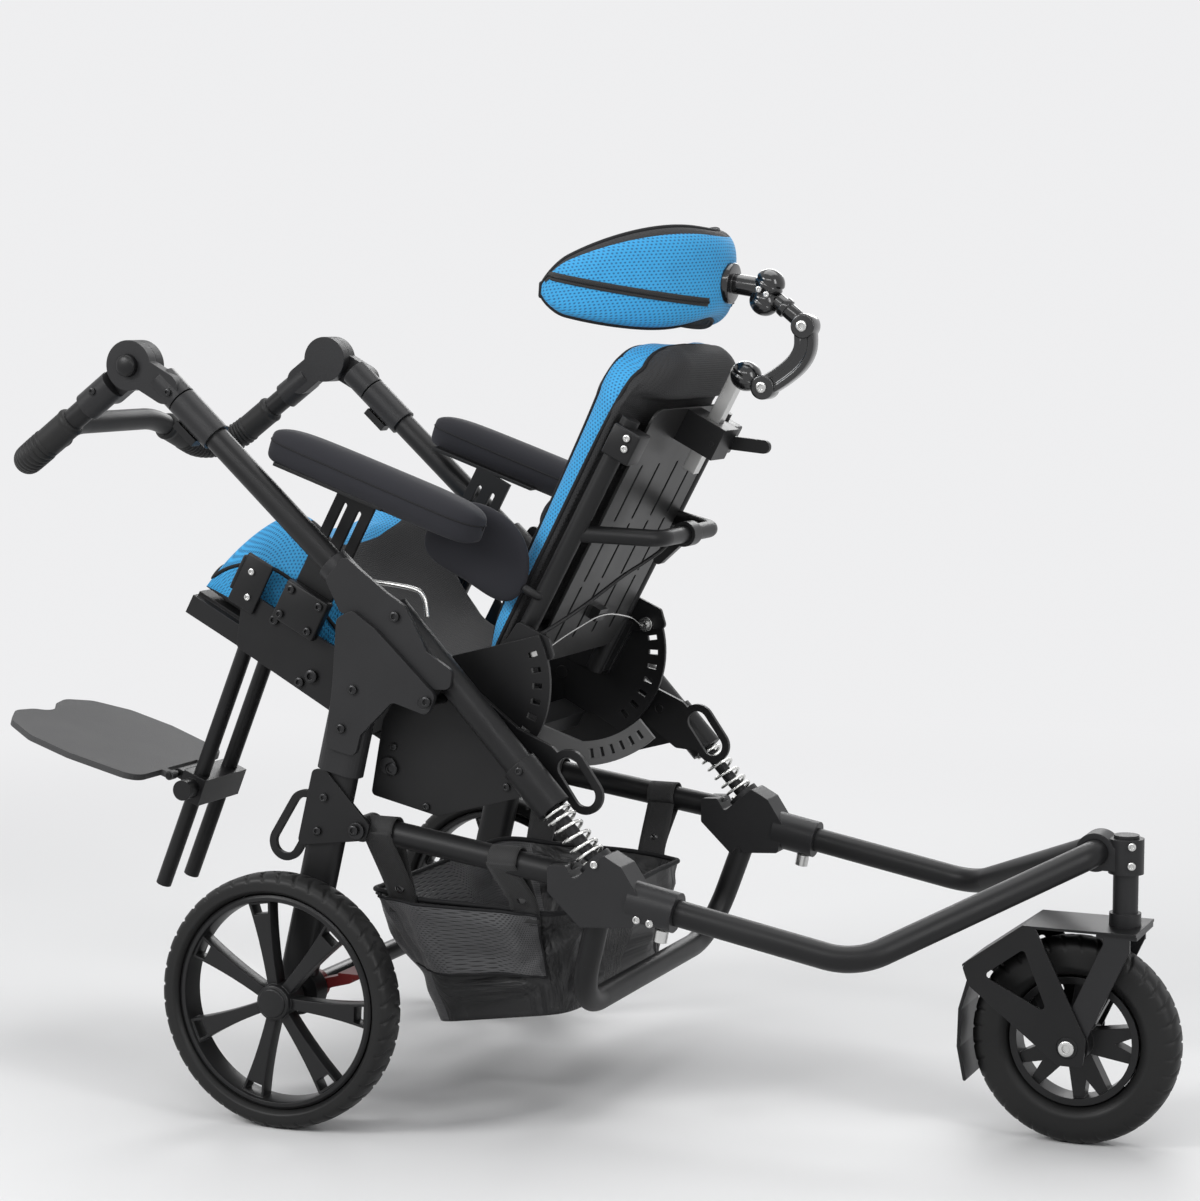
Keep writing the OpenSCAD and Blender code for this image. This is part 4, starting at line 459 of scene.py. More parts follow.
for name, side in sides:
    bpy.ops.mesh.primitive_circle_add(vertices=len(rim_section), radius=1)
    ring = bpy.context.object
    for vertex, (r, across) in zip(ring.data.vertices, rim_section):
        vertex.co = (rear_axle[0] + r * mm, side * rear_y + across * mm, rear_axle[1])
    spun(ring, (rear_axle[0], side * rear_y, rear_axle[1]), 120)
    bpy.ops.object.shade_smooth_by_angle(angle=math.radians(30))
    parts = [ring]
    for k in range(spoke_count):
        parts.append(flared_spoke(math.radians(first_turn + 360 / spoke_count * k), side))
    for radius, depth, middle in ((21, 40, 0), (17.5, 9, 19)):
        bpy.ops.mesh.primitive_cylinder_add(
            vertices=48, radius=radius * mm, depth=depth * mm, rotation=(math.pi / 2, 0, 0),
            location=(rear_axle[0], side * (rear_y + middle * mm), rear_axle[1]))
        hub = bpy.context.object
        bpy.ops.object.transform_apply(location=True, rotation=True)
        parts.append(eased_edges(hub, 2.5 * mm, 3))
    rim = fit(joined(parts), "rear_rim_moulded_" + name, "rear_wheel_" + name, "rim_plastic", rim_nylon)
    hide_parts("rear_rim_" + name)

# Pusher tubes: two drawn aluminium tubes in the same powder coat, from the fold arms' sockets up
# to the handle's joints.


def turned(start, end, radius, ease, facets=96):
    """A cylinder with eased ends from start to end."""
    way = end - start
    bpy.ops.mesh.primitive_cylinder_add(vertices=facets, radius=radius, depth=way.length)
    rod = bpy.context.object
    turn = way.to_track_quat("Z", "Y").to_matrix().to_4x4()
    rod.data.transform(Matrix.Translation((start + end) / 2) @ turn)
    return eased_edges(rod, ease, 3)


pusher_top, pusher_end = Vector((-0.418, 0, 0.866)), Vector((-0.159, 0, 0.625))
frame_y = 0.241
across_frame = (Vector((0, -frame_y, 0)), Vector((0, frame_y, 0)))
tubes = [turned(pusher_top + out, pusher_end + out, 15 * mm, 1 * mm) for out in across_frame]
tubes = fit(joined(tubes), "pusher_tubes_drawn", "pusher", "black_metal", powder_black)
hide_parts("pusher_tubes")

# Angle buttons: moulded domes on the buttons in the middle of the handle's joints. Pressed in,
# they free the handle.
handle_pivot, dome_y = Vector((-0.456, 0, 0.883)), 0.2635
for name, side in sides:
    bpy.ops.mesh.primitive_uv_sphere_add(segments=40, ring_count=24, radius=12.4 * mm)
    dome = bpy.context.object
    place = handle_pivot + Vector((0, side * dome_y, 0))
    dome.data.transform(Matrix.Translation(place) @ Matrix.Diagonal((1, 0.36, 1, 1)))
    bpy.ops.object.shade_smooth()
    fit(dome, "angle_button_dome_" + name, "button_" + name, "black_plastic", moulded_black)

# Springs: two coils of bright wire round the rods under the front tubes, closed and ground flat
# at both ends. On the buggy they shorten as the lower tubes swing up; here they keep one length.
spring_steel = hard_finish("spring_steel", (0.72, 0.72, 0.70), 0.25, metallic=1.0, grain=1600.0, dust=0.0)


def tube_along(points, radius, closed=False, rounds=3):
    """A round tube of this radius on a line of points, as a mesh."""
    curve = bpy.data.curves.new("line", "CURVE")
    curve.dimensions = "3D"
    line = curve.splines.new("POLY")
    line.points.add(len(points) - 1)
    for knot, point in zip(line.points, points):
        knot.co = (*point, 1)
    line.use_cyclic_u = closed
    curve.bevel_depth = radius
    curve.bevel_resolution = rounds
    curve.use_fill_caps = not closed
    tube = bpy.data.objects.new("tube", curve)
    scene.collection.objects.link(tube)
    only(tube)
    bpy.ops.object.convert(target="MESH")
    bpy.ops.object.shade_smooth()
    return bpy.context.object


spring_foot, spring_top = Vector((0.137, 0, 0.333)), Vector((0.088, 0, 0.387))
spring_way = (spring_top - spring_foot).normalized()
spring_length = (spring_top - spring_foot).length
wire, coil_radius, coils, steps_per_coil = 4 * mm, 15.5 * mm, 6, 28
seat_gap, closing = 0.4 * mm, 0.09
side_way = spring_way.cross(Vector((0, 1, 0)))
halves = []
for out in across_frame:
    points = []
    for i in range(coils * steps_per_coil + 1):
        share = i / (coils * steps_per_coil)
        rise = share - closing * math.sin(2 * math.pi * share) / 2
        run = wire / 2 + seat_gap + (spring_length - wire - 2 * seat_gap) * rise
        turn = 2 * math.pi * coils * share
        spoke = side_way * math.cos(turn) + Vector((0, 1, 0)) * math.sin(turn)
        points.append(spring_foot + out + spring_way * run + spoke * coil_radius)
    halves.append(tube_along(points, wire / 2, rounds=4))
springs = fit(joined(halves), "springs_coiled", "carriage", "steel", spring_steel)
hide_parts("springs")
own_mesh(springs)

# Grips: black rubber sleeves pushed on the handle's two corners, ribbed in the bend and plain
# at both ends.
grip_rubber = hard_finish("grip_rubber", (0.013, 0.013, 0.013), 0.55, grain=500.0, bump=0.3, dust=0.06,
                          edge_wear_and_highlight=0.0)
grip_corner, grip_mid, grip_mid_y = Vector((-0.634, 0, 0.750)), Vector((-0.642, 0, 0.806)), 0.096
upper_reach, lower_reach, grip_bend = 112 * mm, 128 * mm, 52 * mm
grip_step, grip_around, rib_pitch, plain_end = 0.65 * mm, 40, 6.5 * mm, 44 * mm


def eased_corner(start, corner, end, radius, steps):
    """Points along start, a round bend at corner, and end."""
    first, last = (start - corner).normalized(), (end - corner).normalized()
    half = first.angle(last) / 2
    back = radius / math.tan(half)
    centre = corner + (first + last).normalized() * radius / math.sin(half)
    a, b = corner + first * back - centre, corner + last * back - centre
    axis, sweep = a.cross(b).normalized(), a.angle(b)
    bend = [centre + Matrix.Rotation(sweep * i / steps, 3, axis) @ a for i in range(steps + 1)]
    return [start] + bend + [end]


def stepped(points, step):
    """The same line with points this far apart."""
    spread, left = [points[0].copy()], step
    for a, b in zip(points, points[1:]):
        length, gone = (b - a).length, 0.0
        while length - gone >= left:
            gone += left
            spread.append(a.lerp(b, gone / length))
            left = step
        left -= length - gone
    return spread


def swept_rings(points, radius_at, around):
    """Rings of vertices along a line, and the faces of the closed tube that they make."""
    vertices, faces = [], []
    side = (points[1] - points[0]).orthogonal().normalized()
    for i, point in enumerate(points):
        way = (points[min(i + 1, len(points) - 1)] - points[max(i - 1, 0)]).normalized()
        side = (side - way * side.dot(way)).normalized()
        over = way.cross(side)
        for k in range(around):
            turn = 2 * math.pi * k / around
            spoke = side * math.cos(turn) + over * math.sin(turn)
            vertices.append(point + spoke * radius_at(i, len(points) - 1))
    for i in range(len(points) - 1):
        for k in range(around):
            a, b = i * around + k, i * around + (k + 1) % around
            faces.append((a, b, b + around, a + around))
    faces.append(tuple(range(around - 1, -1, -1)))
    faces.append(tuple(range((len(points) - 1) * around, len(points) * around)))
    return vertices, faces


def grip_radius(i, last):
    """The sleeve's radius at a step: a collar at each end and ribs between the plain ends."""
    ends = min(i, last - i) * grip_step
    rib = 0.5 + 0.5 * math.cos(2 * math.pi * i * grip_step / rib_pitch)
    ribbed = min(1.0, max(0.0, (ends - plain_end) / (4 * mm)))
    collar = 0.9 * mm * bump_at(ends, 5 * mm, 3 * mm)
    rounded = 2.5 * mm * math.exp(-ends / (1.2 * mm))
    return 17.6 * mm + collar + (0.9 - 2.2 * rib ** 3) * mm * ribbed - rounded


halves = []
for name, side in reversed(sides):
    corner = grip_corner + Vector((0, frame_y * side, 0))
    upper = corner + (handle_pivot - grip_corner).normalized() * upper_reach
    lower = corner + (grip_mid + Vector((0, grip_mid_y * side, 0)) - corner).normalized() * lower_reach
    line = stepped(eased_corner(upper, corner, lower, grip_bend, 40), grip_step)
    halves.append(meshed(*swept_rings(line, grip_radius, grip_around)))
grips = fit(joined(halves), "handle_grips_ribbed", "handle", "rubber", grip_rubber)
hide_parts("handle_grips")

# Cloth: the covers are cut from a thick blue spacer mesh and a black one, from jersey-faced
# neoprene, and from nylon. Their patterns follow each piece's own cut, in metres.
cloth_inputs = {"Place": "Vector", "Thread": "Color", "Under": "Color", "Pitch": "Float"}
cloth_outputs = {"Colour": "Color", "Height": "Float"}
spacer_mesh = node_group("spacer_mesh", cloth_inputs, cloth_outputs)
tree = spacer_mesh
given = tree.nodes.new("NodeGroupInput").outputs
cut = put(tree, "ShaderNodeSeparateXYZ", Vector=given["Place"]).outputs
rows = calc(tree, "DIVIDE", cut["Y"], calc(tree, "MULTIPLY", given["Pitch"], 0.74))
step_in = calc(tree, "MULTIPLY", calc(tree, "PINGPONG", calc(tree, "FLOOR", rows), 1.0), 0.5)
along = calc(tree, "ADD", calc(tree, "DIVIDE", cut["X"], given["Pitch"]), step_in)
dx = calc(tree, "SUBTRACT", calc(tree, "FRACT", along), 0.5)
dy = calc(tree, "SUBTRACT", calc(tree, "FRACT", rows), 0.5)
away = calc(tree, "SQRT", calc(tree, "ADD", calc(tree, "MULTIPLY", dx, dx), calc(tree, "MULTIPLY", dy, dy)))
hole = calc(tree, "SUBTRACT", 1.0, ramp(tree, away, 0.13, 0.36))
shade = cloudy(tree, given["Place"], 26.0, 4.0)
lint = cloudy(tree, given["Place"], 1400.0, 1.0)
covered = calc(tree, "MULTIPLY", hole, 0.9)
covered = calc(tree, "ADD", covered, calc(tree, "MULTIPLY", ramp(tree, shade, 0.4, 0.8), 0.12))
covered = calc(tree, "ADD", covered, calc(tree, "MULTIPLY_ADD", lint, 0.24, -0.12))
result = tree.nodes.new("NodeGroupOutput").inputs
tree.links.new(blend_colour(tree, covered, given["Thread"], given["Under"]), result["Colour"])
tree.links.new(calc(tree, "SUBTRACT", 1.0, hole), result["Height"])

plain_weave = node_group("plain_weave", cloth_inputs, cloth_outputs)
tree = plain_weave
given = tree.nodes.new("NodeGroupInput").outputs
cut = put(tree, "ShaderNodeSeparateXYZ", Vector=given["Place"]).outputs
beat = calc(tree, "DIVIDE", 2 * math.pi, given["Pitch"])
warp = calc(tree, "SINE", calc(tree, "MULTIPLY", cut["X"], beat))
weft = calc(tree, "SINE", calc(tree, "MULTIPLY", cut["Y"], beat))
crossed = calc(tree, "MULTIPLY_ADD", calc(tree, "MULTIPLY", warp, weft), 0.5, 0.5)
faded = calc(tree, "MULTIPLY", ramp(tree, cloudy(tree, given["Place"], 18.0, 5.0), 0.3, 0.8), 0.4)
share = calc(tree, "ADD", calc(tree, "MULTIPLY", crossed, 0.55), faded)
result = tree.nodes.new("NodeGroupOutput").inputs
tree.links.new(blend_colour(tree, share, given["Thread"], given["Under"]), result["Colour"])
tree.links.new(crossed, result["Height"])


def cloth_finish(name, group, thread, under, pitch, rough, bump, sheen, drop=0.6 * mm, crease=0.0):
    """A fabric whose pattern follows the piece's own cut."""
    material = bpy.data.materials.new(name)
    material.use_nodes = True
    tree = material.node_tree
    shader = tree.nodes["Principled BSDF"]
    cut = put(tree, "ShaderNodeUVMap", {"uv_map": "cut"}).outputs["UV"]
    pattern = put(tree, "ShaderNodeGroup", {"node_tree": group}, Place=cut, Pitch=pitch,
                  Thread=(*thread, 1), Under=(*under, 1))
    tree.links.new(pattern.outputs["Colour"], shader.inputs["Base Color"])
    raised = put(tree, "ShaderNodeBump", Strength=bump, Distance=drop, Height=pattern.outputs["Height"])
    if crease:
        slack = put(tree, "ShaderNodeTexNoise", Vector=cut, Scale=13.0, Detail=4.0, Roughness=0.45,
                    Distortion=1.4)
        rumpled = put(tree, "ShaderNodeBump", Strength=0.8, Distance=crease, Height=slack.outputs["Fac"])
        tree.links.new(rumpled.outputs["Normal"], raised.inputs["Normal"])
    tree.links.new(raised.outputs["Normal"], shader.inputs["Normal"])
    shader.inputs["Roughness"].default_value = rough
    shader.inputs["Sheen Weight"].default_value = sheen
    shader.inputs["Sheen Roughness"].default_value = 0.5
    return material


blue_spacer = cloth_finish("blue_spacer", spacer_mesh, (0.035, 0.36, 0.72), (0.006, 0.10, 0.26),
                           pitch=5.2 * mm, rough=0.72, bump=0.8, sheen=0.15)
black_spacer = cloth_finish("black_spacer", spacer_mesh, (0.012, 0.012, 0.013), (0.003, 0.003, 0.0035),
                            pitch=3.6 * mm, rough=0.8, bump=0.8, sheen=0.04)
neoprene = cloth_finish("neoprene", plain_weave, (0.004, 0.0042, 0.008), (0.006, 0.0063, 0.011),
                        pitch=1.1 * mm, rough=0.85, bump=0.25, sheen=0.06, drop=0.2 * mm)
black_nylon = cloth_finish("black_nylon", plain_weave, (0.006, 0.006, 0.0065), (0.011, 0.011, 0.012),
                           pitch=1.4 * mm, rough=0.5, bump=0.3, sheen=0.03, drop=0.2 * mm, crease=22 * mm)
webbing = cloth_finish("webbing", plain_weave, (0.010, 0.010, 0.010), (0.026, 0.026, 0.027),
                       pitch=2.6 * mm, rough=0.75, bump=0.8, sheen=0.05, drop=0.5 * mm)
bag_mesh = cloth_finish("bag_mesh", spacer_mesh, (0.075, 0.075, 0.078), (0.004, 0.004, 0.005),
                        pitch=3.8 * mm, rough=0.55, bump=1.0, sheen=0.05)
binding = hard_finish("binding", (0.007, 0.007, 0.008), 0.7, grain=1500.0, bump=0.5, dust=0.0, edge_wear_and_highlight=0.0)

# Stuffed pads: each is a front and a back sheet sewn together round the rim, and blown up by a
# short cloth simulation that the seam holds. They are laid out in the tilted seat's own frame.
tilt_pivot, seat_tilt = (-87, 486), math.radians(28)
seat_turn = Matrix.Rotation(seat_tilt, 4, "Y")


def soft_edge(u, power):
    """1 in the middle and 0 at the rim; a higher power is flatter and falls later."""
    return math.sqrt(max(0.0, 1 - abs(u) ** power))


def seat_to_floor(point):
    """A point in the seat's own frame, in mm, as a place on the floor's frame in metres."""
    lx, y, lz = point
    c, s = math.cos(seat_tilt), math.sin(seat_tilt)
    return Vector((tilt_pivot[0] + lx * c + lz * s, y, tilt_pivot[1] - lx * s + lz * c)) * mm


def stuffed(pad, seam_points, cap):
    """Blows the pad up by a cloth simulation, held at its seam, by no more than the cap."""
    sim_steps = 20
    rest = [v.co.copy() for v in pad.data.vertices]
    seam = pad.vertex_groups.new(name="seam")
    seam.add(seam_points, 1.0, "REPLACE")
    cloth = pad.modifiers.new("stuffing", "CLOTH")
    cloth.settings.use_pressure = True
    cloth.settings.uniform_pressure_force = 4.0
    cloth.settings.quality = 6
    cloth.settings.vertex_group_mass = "seam"
    cloth.settings.effector_weights.gravity = 0
    cloth.point_cache.frame_end = sim_steps
    for step in range(1, sim_steps + 1):
        scene.frame_set(step)
    swollen = pad.evaluated_get(bpy.context.evaluated_depsgraph_get()).to_mesh()
    moved = [v.co.copy() for v in swollen.vertices]
    pad.modifiers.remove(cloth)
    scene.frame_set(1)
    for vertex, old, new in zip(pad.data.vertices, rest, moved):
        shift = new - old
        if shift.length > cap:
            shift *= cap / shift.length
        vertex.co = old + shift


def cloth_runs(at, number, rows, columns):
    """How far each grid place lies from the middle of its sheet, measured along the cloth."""
    run = {}
    for back in (False, True):
        for i in range(rows + 1):
            total = [0.0]
            for j in range(columns):
                total.append(total[-1] + (at[number[i, j + 1, back]] - at[number[i, j, back]]).length)
            for j in range(columns + 1):
                run[i, j, back] = [total[j] - total[columns // 2], 0.0]
        for j in range(columns + 1):
            total = [0.0]
            for i in range(rows):
                total.append(total[-1] + (at[number[i + 1, j, back]] - at[number[i, j, back]]).length)
            for i in range(rows + 1):
                run[i, j, back][1] = total[i] - total[rows // 2]
    return run


def sewn_pad(place, rows, columns, zone, cap):
    """A stuffed pad of a front and a back sheet sewn together round their rim. place(u, v, back)
    gives its points, zone(u, v, back) the cloth of each face, and cap the most that it may swell."""
    us = [math.sin(math.pi / 2 * (2 * i / rows - 1)) for i in range(rows + 1)]
    vs = [math.sin(math.pi / 2 * (2 * j / columns - 1)) for j in range(columns + 1)]
    points, number, seam_points = [], {}, []
    for back in (False, True):
        for i, u in enumerate(us):
            for j, v in enumerate(vs):
                rim = i in (0, rows) or j in (0, columns)
                if rim and back:
                    number[i, j, True] = number[i, j, False]
                    continue
                point = Vector(place(u, v, back))
                number[i, j, back] = len(points)
                if rim:
                    point = (point + Vector(place(u, v, True))) / 2
                    seam_points.append(len(points))
                points.append(point)
    faces, cells = [], []
    for back in (False, True):
        for i in range(rows):
            for j in range(columns):
                ring = [(i, j, back), (i, j + 1, back), (i + 1, j + 1, back), (i + 1, j, back)]
                ring = ring[::-1] if back else ring
                faces.append([number[key] for key in ring])
                cells.append(ring)
    pad = meshed(points, faces)
    facing_out(pad)
    stuffed(pad, seam_points, cap)
    at = [v.co.copy() for v in pad.data.vertices]
    run = cloth_runs(at, number, rows, columns)
    cut = pad.data.uv_layers.new(name="cut")
    for face, ring in zip(pad.data.polygons, cells):
        places = {number[key]: run[key] for key in ring}
        for loop in face.loop_indices:
            cut.data[loop].uv = places[pad.data.loops[loop].vertex_index]
        i, j = min(key[0] for key in ring), min(key[1] for key in ring)
        face.material_index = zone((us[i] + us[i + 1]) / 2, (vs[j] + vs[j + 1]) / 2, ring[0][2])
    finer = pad.modifiers.new("finer", "SUBSURF")
    finer.levels = finer.render_levels = 1
    only(pad)
    bpy.ops.object.modifier_apply(modifier="finer")

    def seam_line(keys):
        """Points on the sewn pad under these grid places."""
        return [at[number[key]] for key in keys]

    return pad, seam_line, us, vs


def nearest(values, wanted):
    """The index of the value that lies nearest to the wanted one."""
    return min(range(len(values)), key=lambda i: abs(values[i] - wanted))


def ring_of(i0, i1, j0, j1):
    """Grid places once round a rectangle of a pad's front sheet."""
    ring = [(i0, j) for j in range(j0, j1)] + [(i, j1) for i in range(i0, i1)]
    ring += [(i1, j) for j in range(j1, j0, -1)] + [(i, j0) for i in range(i1, i0, -1)]
    return [(i, j, False) for i, j in ring]


def one_cloth(u, v, back):
    """The zone of a pad that is all of one cloth."""
    return 0


# Seat cushion: a foam block under a blue spacer cover with a high front roll and raised sides,
# edged with black binding, on the seat pan.
cushion_front, cushion_half_length, cushion_half_width = -346, 169, 161
cushion_base, cushion_thick, edge_draw = -47.7, 58, 6
front_roll, side_wing, rim_share = 44, 100, 0.985


def seat_point(u, v, back):
    """A point of the cushion, with its front roll and raised sides."""
    edge = soft_edge(u, 10) * soft_edge(v, 14)
    x = cushion_front + cushion_half_length * (1 + u) - edge_draw * u * (1 - v * v)
    y = v * (cushion_half_width - edge_draw * (1 - u * u))
    if back:
        return seat_to_floor((x, y, cushion_base + 8 * (1 - edge)))
    roll = front_roll * bump_at(u, -0.72, 0.32)
    wing = side_wing * abs(v) ** 3 * bump_at(u, -0.35, 0.5)
    return seat_to_floor((x, y, cushion_base + 9 + (cushion_thick + roll + wing) * edge))


def seat_zone(u, v, back):
    """Blue over the front roll and down the outer walls, black behind and below."""
    blue_to = 0.3 if abs(v) > 0.95 else -0.55
    return 1 if back or u > blue_to else 0


cushion, line_at, us, vs = sewn_pad(seat_point, 60, 64, seat_zone, 5 * mm)
fit(cushion, "seat_cushion_cover", "seat", "blue_mesh", blue_spacer, black_spacer)
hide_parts("seat_cushion")
ring = ring_of(*(nearest(line, end) for line in (us, vs) for end in (-rim_share, rim_share)))
piping = tube_along(line_at(ring), 2.4 * mm, closed=True)
fit(piping, "seat_cushion_piping", "seat", "black_cloth", binding)

# Arm pads: neoprene sleeves sewn round foam, one on each armrest post, with their seam round the
# middle.
arm_middle, arm_y, arm_half_length, arm_half_width = (-178, 205), 215, 145, 31
arm_lean, arm_top, arm_bottom, arm_rows, arm_columns = math.radians(8.41), 21, 25, 56, 24
for name, side in sides:

    def arm_point(u, v, back):
        """A point of the sleeve, flat below and crowned above."""
        width = arm_half_width * (0.86 + 0.14 * u) * soft_edge(u, 8) * v
        if back:
            height = -arm_bottom * soft_edge(v, 9) * (0.5 + 0.5 * soft_edge(u, 20))
        else:
            height = arm_top * soft_edge(v, 3.2) * (0.22 + 0.78 * soft_edge(u, 6))
        c, s = math.cos(arm_lean), math.sin(arm_lean)
        run = arm_half_length * u
        return seat_to_floor((arm_middle[0] + run * c - height * s, arm_y * side + width,
                              arm_middle[1] + run * s + height * c))

    pad, line_at, us, vs = sewn_pad(arm_point, arm_rows, arm_columns, one_cloth, 3 * mm)
    fit(pad, "arm_pad_cover_" + name, "armrest_" + name, "black_cloth", neoprene)
    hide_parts("arm_pad_" + name)
    seam = tube_along(line_at(ring_of(0, arm_rows, 0, arm_columns)), 0.9 * mm, closed=True)
    fit(seam, "arm_pad_seam_" + name, "armrest_" + name, "black_cloth", binding)

# Back cushion: a shaped foam panel in a black cover with a blue spacer band round its edge.
# The cover's top folds over the shell as a black pocket.
back_foot, back_half_height, back_half_width, back_draw = 62, 216, 152, 5
back_rear, pocket_foot, pocket_rise, pocket_depth = 33.7, 428, 16, 27
band_in, band_out, top_band = 0.87, 0.994, 1.9


def back_point(u, v, back):
    """A point of the back cushion, with round top corners and the pocket behind."""
    edge = soft_edge(u, 18 if u > 0 else 10) * soft_edge(v, 8)
    round_u, round_v = max(0.0, (u - 0.58) / 0.42), max(0.0, (abs(v) - 0.41) / 0.59)
    y = v * (back_half_width - back_draw * (1 - u * u)) - math.copysign(30 * round_u ** 2 * round_v, v)
    z = back_foot + back_half_height * (1 + u) - back_draw * u * (1 - v * v) - 34 * round_v ** 2 * round_u
    if not back:
        return seat_to_floor((back_rear - 8 - (36 + 11 * (1 + u) - 16 * (1 - v * v)) * edge, y, z))
    rise = min(1.0, max(0.0, (z - pocket_foot) / pocket_rise))
    pocket = pocket_depth * rise * rise * (3 - 2 * rise) * soft_edge(v, 6) * edge
    return seat_to_floor((back_rear - 6 * (1 - edge) + pocket, y, z))


def back_zone(u, v, back):
    """Blue in the band round both sides and the top, black elsewhere."""
    around = max(abs(v), 1 - (1 - u) * top_band)
    return 1 if not back and band_in < around < band_out else 0


cushion, line_at, us, vs = sewn_pad(back_point, 84, 72, back_zone, 5 * mm)
fit(cushion, "back_cushion_cover", "back", "blue_mesh", black_spacer, blue_spacer)
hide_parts("back_cushion")


def smoothed(line, passes):
    """The same line with its corners drawn in."""
    for step in range(passes):
        inner = [(a + 2 * b + c) / 4 for a, b, c in zip(line, line[1:], line[2:])]
        line = [line[0]] + inner + [line[-1]]
    return line


edges = []
for limit in (band_in, band_out):
    j0, j1, i1 = nearest(vs, -limit), nearest(vs, limit), nearest(us, 1 - (1 - limit) / top_band)
    path = [(i, j0, False) for i in range(2, i1)] + [(i1, j, False) for j in range(j0, j1)]
    path += [(i, j1, False) for i in range(i1, 1, -1)]
    edges.append(tube_along(smoothed(line_at(path), 30), 2.6 * mm))
fit(joined(edges), "back_cushion_piping", "back", "black_cloth", binding)

# Lateral pads: kidney-shaped neoprene pads over foam, one on each of the back frame's side
# arms.
lateral_middle, lateral_y, lateral_half_length, lateral_half_height = (-46, 190), 164, 70, 46
halves = []
for name, side in reversed(sides):

    def lateral_point(u, v, back):
        """A point of the pad, thin at its rim and bent down at its ends."""
        half = max(1.0, 10 * soft_edge(u, 4) * soft_edge(v, 4)) * (-1 if back else 1)
        z = lateral_middle[1] + v * lateral_half_height * soft_edge(u, 3) - 16 * u * u
        return seat_to_floor((lateral_middle[0] + lateral_half_length * u, lateral_y * side + half, z))

    pad, line_at, us, vs = sewn_pad(lateral_point, 36, 28, one_cloth, 3 * mm)
    halves.append(pad)
pads = fit(joined(halves), "lateral_pad_covers", "back", "black_cloth", neoprene)
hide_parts("lateral_pads")

# Head pad: a curved wing pad with a blue spacer outside and black inside, sewn with black binding
# round its rim.
head_half_height, head_half_width, head_radius, head_thick = 62.5, 118, 175, 26
head_wrap, head_lean, head_middle = math.radians(86), math.radians(24), (3, 567)
head_rows, head_columns = 44, 88


def head_edges(v):
    """The top and bottom edge of the pad in mm, with blunt tips and a shorter middle."""
    high = head_half_height * (1 - 1.08 * abs(v) ** 2.8)
    low = head_half_height * (0.28 * v ** 4 - 1)
    tip = max(0.35, soft_edge(max(0.0, (abs(v) - 0.88) / 0.12), 2))
    middle = bump_at(v, 0, 0.3)
    centre, half = (high + low) / 2, (high - low) / 2 * tip
    return centre + half - 7 * middle, centre - half + 17 * middle


def head_point(u, v, back):
    """A point of the head pad, wrapped round and leant back."""
    turn = head_wrap * v
    half = max(2.0, head_thick * soft_edge(u, 3.4) * soft_edge(v, 6))
    r = head_radius + (half if back else -half)
    x = r * math.cos(turn) - head_radius
    y = head_half_width / math.sin(head_wrap) * r / head_radius * math.sin(turn)
    high, low = head_edges(v)
    z = (high + low) / 2 + u * (high - low) / 2
    c, s = math.cos(head_lean), math.sin(head_lean)
    return seat_to_floor((head_middle[0] + x * c - z * s, y, head_middle[1] + x * s + z * c))


def head_zone(u, v, back):
    """Blue outside, black inside and along the top."""
    return 0 if back and u < 0.88 else 1


pad, line_at, us, vs = sewn_pad(head_point, head_rows, head_columns, head_zone, 5 * mm)
fit(pad, "head_pad_cover", "head", "blue_mesh", blue_spacer, black_spacer)
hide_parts("head_pad")
piping = tube_along(line_at(ring_of(0, head_rows, 0, head_columns)), 3.0 * mm, closed=True)
fit(piping, "head_pad_piping", "head", "black_cloth", binding)

# Head pad zips: a woven tape sewn along each outer wing of the cover, with the closed teeth as one
# cord down its middle.


def cut_cloth(piece, places):
    """Writes each vertex's place on the flat cloth, in metres, for the fabric's pattern."""
    cut = piece.data.uv_layers.new(name="cut")
    for face in piece.data.polygons:
        for loop in face.loop_indices:
            cut.data[loop].uv = places[piece.data.loops[loop].vertex_index]


def grid_faces(rows, columns):
    """The faces of a grid of rows of points, each with this many columns."""
    starts = [i * columns + k for i in range(rows - 1) for k in range(columns - 1)]
    return [(a, a + 1, a + columns + 1, a + columns) for a in starts]


def tape_on(piece, line, width, lift, thickness):
    """A flat tape of this width that lies along a line on the piece's surface."""
    vertices, cut_at, columns, run = [], [], 5, 0.0
    for i, point in enumerate(line):
        way = (line[min(i + 1, len(line) - 1)] - line[max(i - 1, 0)]).normalized()
        normal = piece.closest_point_on_mesh(point)[2]
        run += (point - line[max(i - 1, 0)]).length
        for k in range(columns):
            share = k / (columns - 1)
            spot = point + way.cross(normal) * width * (share - 0.5)
            hit, place, normal_there, index = piece.closest_point_on_mesh(spot)
            vertices.append(place + normal_there * lift)
            cut_at.append((width * share, run))
    tape = meshed(vertices, grid_faces(len(line), columns))
    cut_cloth(tape, cut_at)
    return thickened(tape, thickness)


def zip_place(v):
    """Where the zip runs on the outer cover: at the top of the wing's tip, lower behind."""
    high, low = head_edges(v)
    wanted = -28 + 22 * v * v
    u = (wanted - (high + low) / 2) / ((high - low) / 2)
    return Vector(head_point(max(-1.0, min(0.85, u)), v, True))


zips, teeth, zip_from, zip_to, zip_steps = [], [], 0.2, 0.98, 40
for side in (-1, 1):
    line = [zip_place(side * (zip_from + (zip_to - zip_from) * k / zip_steps)) for k in range(zip_steps + 1)]
    zips.append(tape_on(pad, line, 10 * mm, 0.5 * mm, 1.2 * mm))
    on_pad = [pad.closest_point_on_mesh(p) for p in line]
    teeth.append(tube_along([hit[1] + hit[2] * 1.2 * mm for hit in on_pad], 1.6 * mm))
fit(joined(zips), "head_pad_zip_tape", "head", "black_cloth", webbing)
fit(joined(teeth), "head_pad_zip_teeth", "head", "black_plastic", moulded_black)

